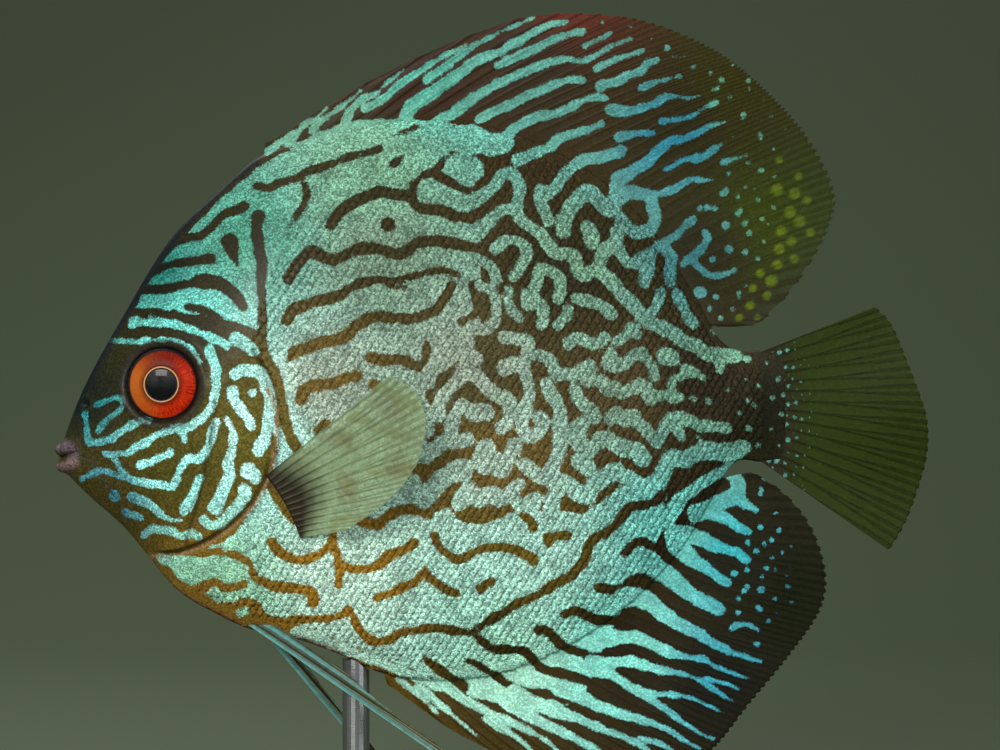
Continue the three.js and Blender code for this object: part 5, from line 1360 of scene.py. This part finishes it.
eyes = {
    "radius": 6.5, "pupil": 2.9, "crown": 1.9, "sink": 0.75, "tilt": 0.1,
    "backRadius": 6.6, "depth": 2.2, "pupilStep": 0.12,
    "rings": 60, "around": 96,
    "red": (150, 14, 4), "orange": (206, 56, 12), "gold": (170, 100, 34), "upperShade": (60, 14, 8),
    "innerShade": (70, 20, 10), "outerEdge": (30, 26, 28), "rim": (214, 160, 110), "black": (6, 8, 10),
    "shader": {"Roughness": 0.3, "Specular IOR Level": 0.1, "Coat Weight": 0.12, "Coat Roughness": 0.04},
}


def makeEye(side):
    # a cap turned about its axis: height = crown (1 - (r / R)^2)^0.85 - sink
    # a shallow step runs round the pupil
    eyeX, eyeZ = head["eye"]
    rings, count = eyes["rings"], eyes["around"]
    centre = np.array([eyeX, side * float(halfWidth(eyeX, eyeZ)), eyeZ])
    normal = np.array([-eyes["tilt"], side, 0.0])
    normal /= np.linalg.norm(normal)
    right = np.cross([0, 0, 1], normal)
    right /= np.linalg.norm(right)
    up = np.cross(normal, right)
    r = np.linspace(0, 1, rings)[1:, None] * eyes["radius"]
    turn = np.linspace(0, 2 * np.pi, count, endpoint=False)[None, :]
    height = eyes["crown"] * (1 - (r / eyes["radius"]) ** 2) ** 0.85 - eyes["sink"]
    height = height + eyes["pupilStep"] * bump(r - eyes["pupil"] - 0.25, 0.22)
    spot = centre + (r * np.cos(turn))[..., None] * right + (r * np.sin(turn))[..., None] * up
    spot = spot + (height + 0 * turn)[..., None] * normal
    rim = spot[-1] - normal * eyes["depth"]
    front = centre + normal * (eyes["crown"] - eyes["sink"])
    points = np.vstack([spot.reshape(-1, 3), rim, front, rim.mean(axis=0)])
    first, last = np.arange(count), np.arange(count) + (rings - 1) * count
    fans = [np.stack([np.full(count, rings * count), first, np.roll(first, -1)], axis=-1),
            np.stack([np.full(count, rings * count + 1), np.roll(last, -1), last], axis=-1)]
    faces = [gridFaces(rings, count, wrap=True)[:, ::-1]] + fans
    piece = addMesh("eyeball_" + sideWord[side], points, facesOutward(points, faces))
    back = eyes["backRadius"]
    radius = np.concatenate([np.repeat(r[:, 0], count), np.full(count, back), [0, back]])
    ways = np.concatenate([np.tile(turn[0], rings), [0, 0]])
    cosine, sine = np.cos(ways), np.sin(ways)
    setValue(piece, "out", radius)
    setValue(piece, "fibre", np.stack([cosine * 2, sine * 2, radius * 0.12], axis=-1), "FLOAT_VECTOR")
    setValue(piece, "rearward", cosine * right[0])
    setValue(piece, "upward", sine)
    setUnwrap(piece, np.stack([0.5 + radius / 14 * cosine, 0.5 + radius / 14 * sine], axis=-1))
    return finish(piece, "eye", "eye_" + sideWord[side])


def eyeMaterial():
    # rings of colour by the distance out in mm: pupil, pale rim, fibrous iris, dark edge
    material, tree, shader = newMaterial("eye_gloss", eyes["shader"])
    out = attribute(tree, "out")
    fibres = noise(tree, attribute(tree, "fibre", "Vector"), 9.0, 5.0, 0.65)
    share = ramp(tree, fibres, 0.0, 1.0, 0.38, 0.62)
    colour = mixColours(tree, share, opaque(eyes["red"]), opaque(eyes["orange"]))
    overlays = [
        # what is laid on, the value that it follows, its share at the first and the second of two values
        ("gold", attribute(tree, "rearward"), 0.75, 0.0, -1.0, 0.1),
        ("upperShade", attribute(tree, "upward"), 0.0, 0.75, 0.4, 1.0),
        ("innerShade", out, 0.85, 0.0, 3.2, 4.5),
        ("outerEdge", out, 0.0, 1.0, 5.85, 6.15),
        ("rim", out, 1.0, 0.0, 3.12, 3.3),
        ("black", out, 1.0, 0.0, 2.98, 3.08),
    ]
    for name, value, low, high, start, end in overlays:
        colour = mixColours(tree, ramp(tree, value, low, high, start, end), colour, opaque(eyes[name]))
    tree.links.new(colour, shader.inputs["Base Color"])
    addBump(tree, shader, fibres, 0.00012, 0.5)
    return material


eyeGloss = eyeMaterial()
for side in (leftSide, rightSide):
    makeEye(side).data.materials.append(eyeGloss)
print("eyes made")

# Scales

scales = {
    "alongSpacing": 1.42, "acrossSpacing": 1.16,
    "length": 1.5, "width": 1.16,  # shares of the spacing
    "lift": 0.045, "sink": -0.035, "crown": 0.012, "skirt": 0.14,
    "jitter": 0.07, "seed": 5, "tint": 0.06,
    "grid": 4,
    "rows": (37, 143), "front": -64.0, "rear": 48.6, "parting": -8.0,
    "fromGill": 1.0, "fromEdge": 0.5, "cropped": 0.25,
    "unwrapHeights": (36, 108),  # the lowest height and the span that the unwrap takes
    "patch": (0.006, 0.003),  # a scale's length and half width on the unwrap
}


def scalePlaces():
    # staggered, slightly jittered rows behind the gill cover, and how far in from an edge each place is
    alongStep = scales["alongSpacing"]
    places = []
    for k, height in enumerate(np.arange(*scales["rows"], scales["acrossSpacing"])):
        x = np.arange(scales["front"] + (k % 2) * alongStep / 2, scales["rear"], alongStep)
        places.append(np.stack([x, np.full_like(x, height)], axis=-1))
    places = np.vstack(places)
    places += np.random.default_rng(scales["seed"]).normal(0, scales["jitter"], places.shape)
    x, z = places.T
    edge, _ = besideLine(x, z, gillEdgeLine)
    behindNape = x + 48 - 0.3 * (z - 99)
    fromHead = np.where(z > 99, behindNape, np.where(x > -44, edge, np.minimum(edge, 59.5 - z)))
    fromOutline = np.minimum(backHeight(x) - z, z - bellyHeight(x))
    inward = np.minimum(fromHead - scales["fromGill"], fromOutline - scales["fromEdge"])
    kept = inward > 0
    return places[kept], inward[kept]


def makeScales(side, part, low, high):
    # each scale: a rounded plate from its sunk root to its lifted rear edge, with a skirt and an underside
    places, inward = scalePlaces()
    wanted = (places[:, 0] >= low) & (places[:, 0] < high)
    places, inward = places[wanted], inward[wanted]
    n = scales["grid"]
    a, b = np.meshgrid(np.linspace(0, 1, n), np.linspace(-1, 1, n), indexing="ij")
    a, b = a.ravel(), b.ravel()
    grown = (0.55 + 0.45 * smoothStep(0, 7, inward))[:, None]
    length, half = scales["alongSpacing"] * scales["length"], scales["acrossSpacing"] * scales["width"]
    localX = length * (a - 0.45) * (1 - 0.26 * b**2 * a)
    localZ = half * b * (1 - 0.42 * np.abs(a - 0.45) ** 1.6 * 2.2)
    x = places[:, :1] + localX * grown
    z = places[:, 1:] + localZ * grown
    z = np.clip(z, bellyHeight(x) + scales["cropped"], backHeight(x) - scales["cropped"])
    raised = smoothStep(0.2, 6, inward)[:, None]
    lift = scales["sink"] + (scales["lift"] - scales["sink"]) * a**0.8 + scales["crown"] * (1 - b**2)
    lift = lift * raised + scales["sink"] * 0.6 * (1 - raised)
    normal = flankNormal(x, z, side)
    topPoints = onFlank(x, z, side) + normal * lift[:, :, None]
    grid = np.arange(n * n).reshape(n, n)
    border = np.concatenate([grid[0, :-1], grid[:-1, -1], grid[-1, :0:-1], grid[:0:-1, 0]])
    skirt = topPoints[:, border] - normal[:, border] * scales["skirt"]
    points = np.concatenate([topPoints, skirt], axis=1)
    each = points.shape[1]
    under = n * n + np.arange(len(border))
    sideFaces = np.stack([border, np.roll(border, -1), np.roll(under, -1), under], axis=-1)
    offsets = (np.arange(len(places)) * each)[:, None, None]
    flat = points.reshape(-1, 3)
    faces = [(offsets + one).reshape(-1, one.shape[1])
             for one in (gridFaces(n, n), sideFaces[:, ::-1], under[None, :])]
    piece = addMesh("scales_" + sideWord[side] + "_" + part, flat, facesOutward(flat, faces))
    px, pz = flat[:, 0], flat[:, 2]
    dark, light = withAccents(px, pz, *coloursAt(px, pz))
    tint = np.random.default_rng(scales["seed"] + 1).normal(1, scales["tint"], len(places))
    tint = np.repeat(tint, each)[:, None]
    paintMarks(piece, markAt(px, pz, side), dark * tint, light * tint)
    setUnwrap(piece, scaleUnwrap(places, np.append(a, a[border]), np.append(b, b[border])))
    return finish(piece, "skin")


def scaleUnwrap(places, a, b):
    # a small patch at each root's place: u by the way from the snout to the tail, v by the height
    x, z = places.T
    rootU = 0.01 + 0.98 * (x - fishBody["frontX"]) / (fishBody["rearX"] - fishBody["frontX"])
    low, span = scales["unwrapHeights"]
    rootV = (z - low) / span
    patchU, patchV = scales["patch"]
    return np.stack([rootU[:, None] + patchU * a, rootV[:, None] + patchV * b], axis=-1).reshape(-1, 2)


for side in (leftSide, rightSide):
    for part, low, high in (("front", -90, scales["parting"]), ("rear", scales["parting"], 90)):
        made = makeScales(side, part, low, high)
        made.data.materials.append(skin.data.materials[0])
        print(made.name, "made", len(made.data.polygons))

# Stand, floor, light and camera

standLooks = {
    "stand_wood": {
        "shader": {}, "dark": (34, 26, 22), "light": (58, 42, 32), "stretch": (30, 220, 220), "detail": 6.0,
        "mixSpan": (0.35, 0.65), "rough": (0.32, 0.45), "roughSpan": (0.3, 0.7), "bump": (0.0001, 0.4),
    },
    "stand_steel": {
        "shader": {"Metallic": 1.0}, "dark": (150, 152, 156), "light": (196, 198, 200),
        "stretch": (600, 600, 9000), "detail": 2.0,
        "mixSpan": (0.0, 1.0), "rough": (0.22, 0.4), "roughSpan": (0.0, 1.0), "bump": (0.00002, 0.5),
    },
}


def standMaterial(name):
    # stretched noise mixes two tones and sets the roughness and the bumps
    look = standLooks[name]
    material, tree, shader = newMaterial(name, look["shader"])
    grain = noise(tree, place(tree, look["stretch"]), 1.0, look["detail"])
    share = ramp(tree, grain, 0.0, 1.0, *look["mixSpan"])
    colour = mixColours(tree, share, opaque(look["dark"]), opaque(look["light"]))
    tree.links.new(colour, shader.inputs["Base Color"])
    tree.links.new(ramp(tree, grain, *look["rough"], *look["roughSpan"]), shader.inputs["Roughness"])
    addBump(tree, shader, grain, *look["bump"])
    return material


def dress(node, material):
    # one material all over a node of the stand
    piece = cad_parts[node]
    if not piece.material_slots:
        piece.data.materials.append(material)
    for materialSlot in piece.material_slots:
        materialSlot.material = material


dress("stand_base", standMaterial("stand_wood"))
dress("stand_rod", standMaterial("stand_steel"))

studio = {
    "floor": (62, 74, 50),
    "halfWidth": 1400.0, "front": -1200.0, "bend": 420.0, "bendRadius": 500.0, "height": 1600.0,
    "lights": {
        # place in metres, size, power in watts, colour
        "key": ((-0.34, -0.85, 0.46), 0.3, 9.6, (1.0, 0.98, 0.95)),
        "fill": ((0.7, -0.7, 0.3), 0.5, 2.6, (0.95, 0.98, 1.0)),
        "top": ((0.05, 0.1, 0.75), 0.6, 3.4, (1.0, 1.0, 1.0)),
        "back": ((-0.25, 0.4, 0.6), 0.4, 1.6, (1.0, 1.0, 1.0)),
    },
    "aim": (0, 0, 0.09),
    "world": 0.2, "worldColour": (0.9, 0.94, 1.0, 1),
}


def makeFloor():
    # a flat sheet that turns up behind in a quarter circle
    bend, radius, half = studio["bend"], studio["bendRadius"], studio["halfWidth"]
    angle = np.linspace(0, np.pi / 2, 24)
    y = np.concatenate([[studio["front"]], bend + radius * np.sin(angle), [bend + radius]])
    z = np.concatenate([[0], radius - radius * np.cos(angle), [studio["height"]]])
    points = np.array([[(-half, back, up), (half, back, up)] for back, up in zip(y, z)])
    floor = addMesh("floor", points.reshape(-1, 3), [gridFaces(len(y), 2)])
    look = {"Base Color": opaque(studio["floor"]), "Roughness": 0.7}
    floor.data.materials.append(newMaterial("studio_floor", look)[0])


def makeLights():
    # square soft lamps that all face the middle of the model
    for name, (spot, size, power, colour) in studio["lights"].items():
        light = bpy.data.lights.new(name, "AREA")
        light.energy, light.size, light.color = power, size, colour
        lamp = bpy.data.objects.new(name, light)
        lamp.location = spot
        lamp.rotation_euler = (Vector(studio["aim"]) - Vector(spot)).to_track_quat("-Z", "Y").to_euler()
        bpy.context.scene.collection.objects.link(lamp)
    world = bpy.data.worlds.new("studio")
    world.use_nodes = True
    background = world.node_tree.nodes["Background"]
    background.inputs["Color"].default_value = studio["worldColour"]
    background.inputs["Strength"].default_value = studio["world"]
    bpy.context.scene.world = world
    bpy.context.scene.view_settings.view_transform = "Standard"


cameraView = {"place": (1.3, -511.0, 94.2), "lens": 100.0, "sensor": 36.0}


def makeCamera():
    # level, on the fish's left side, at the photograph's viewing angle
    camera = bpy.data.cameras.new("camera")
    camera.lens, camera.sensor_width = cameraView["lens"], cameraView["sensor"]
    holder = bpy.data.objects.new("camera", camera)
    holder.location = [v * mm for v in cameraView["place"]]
    holder.rotation_euler = (math.radians(90), 0, 0)
    bpy.context.scene.collection.objects.link(holder)
    bpy.context.scene.camera = holder


makeFloor()
makeLights()
makeCamera()
print("stage set")
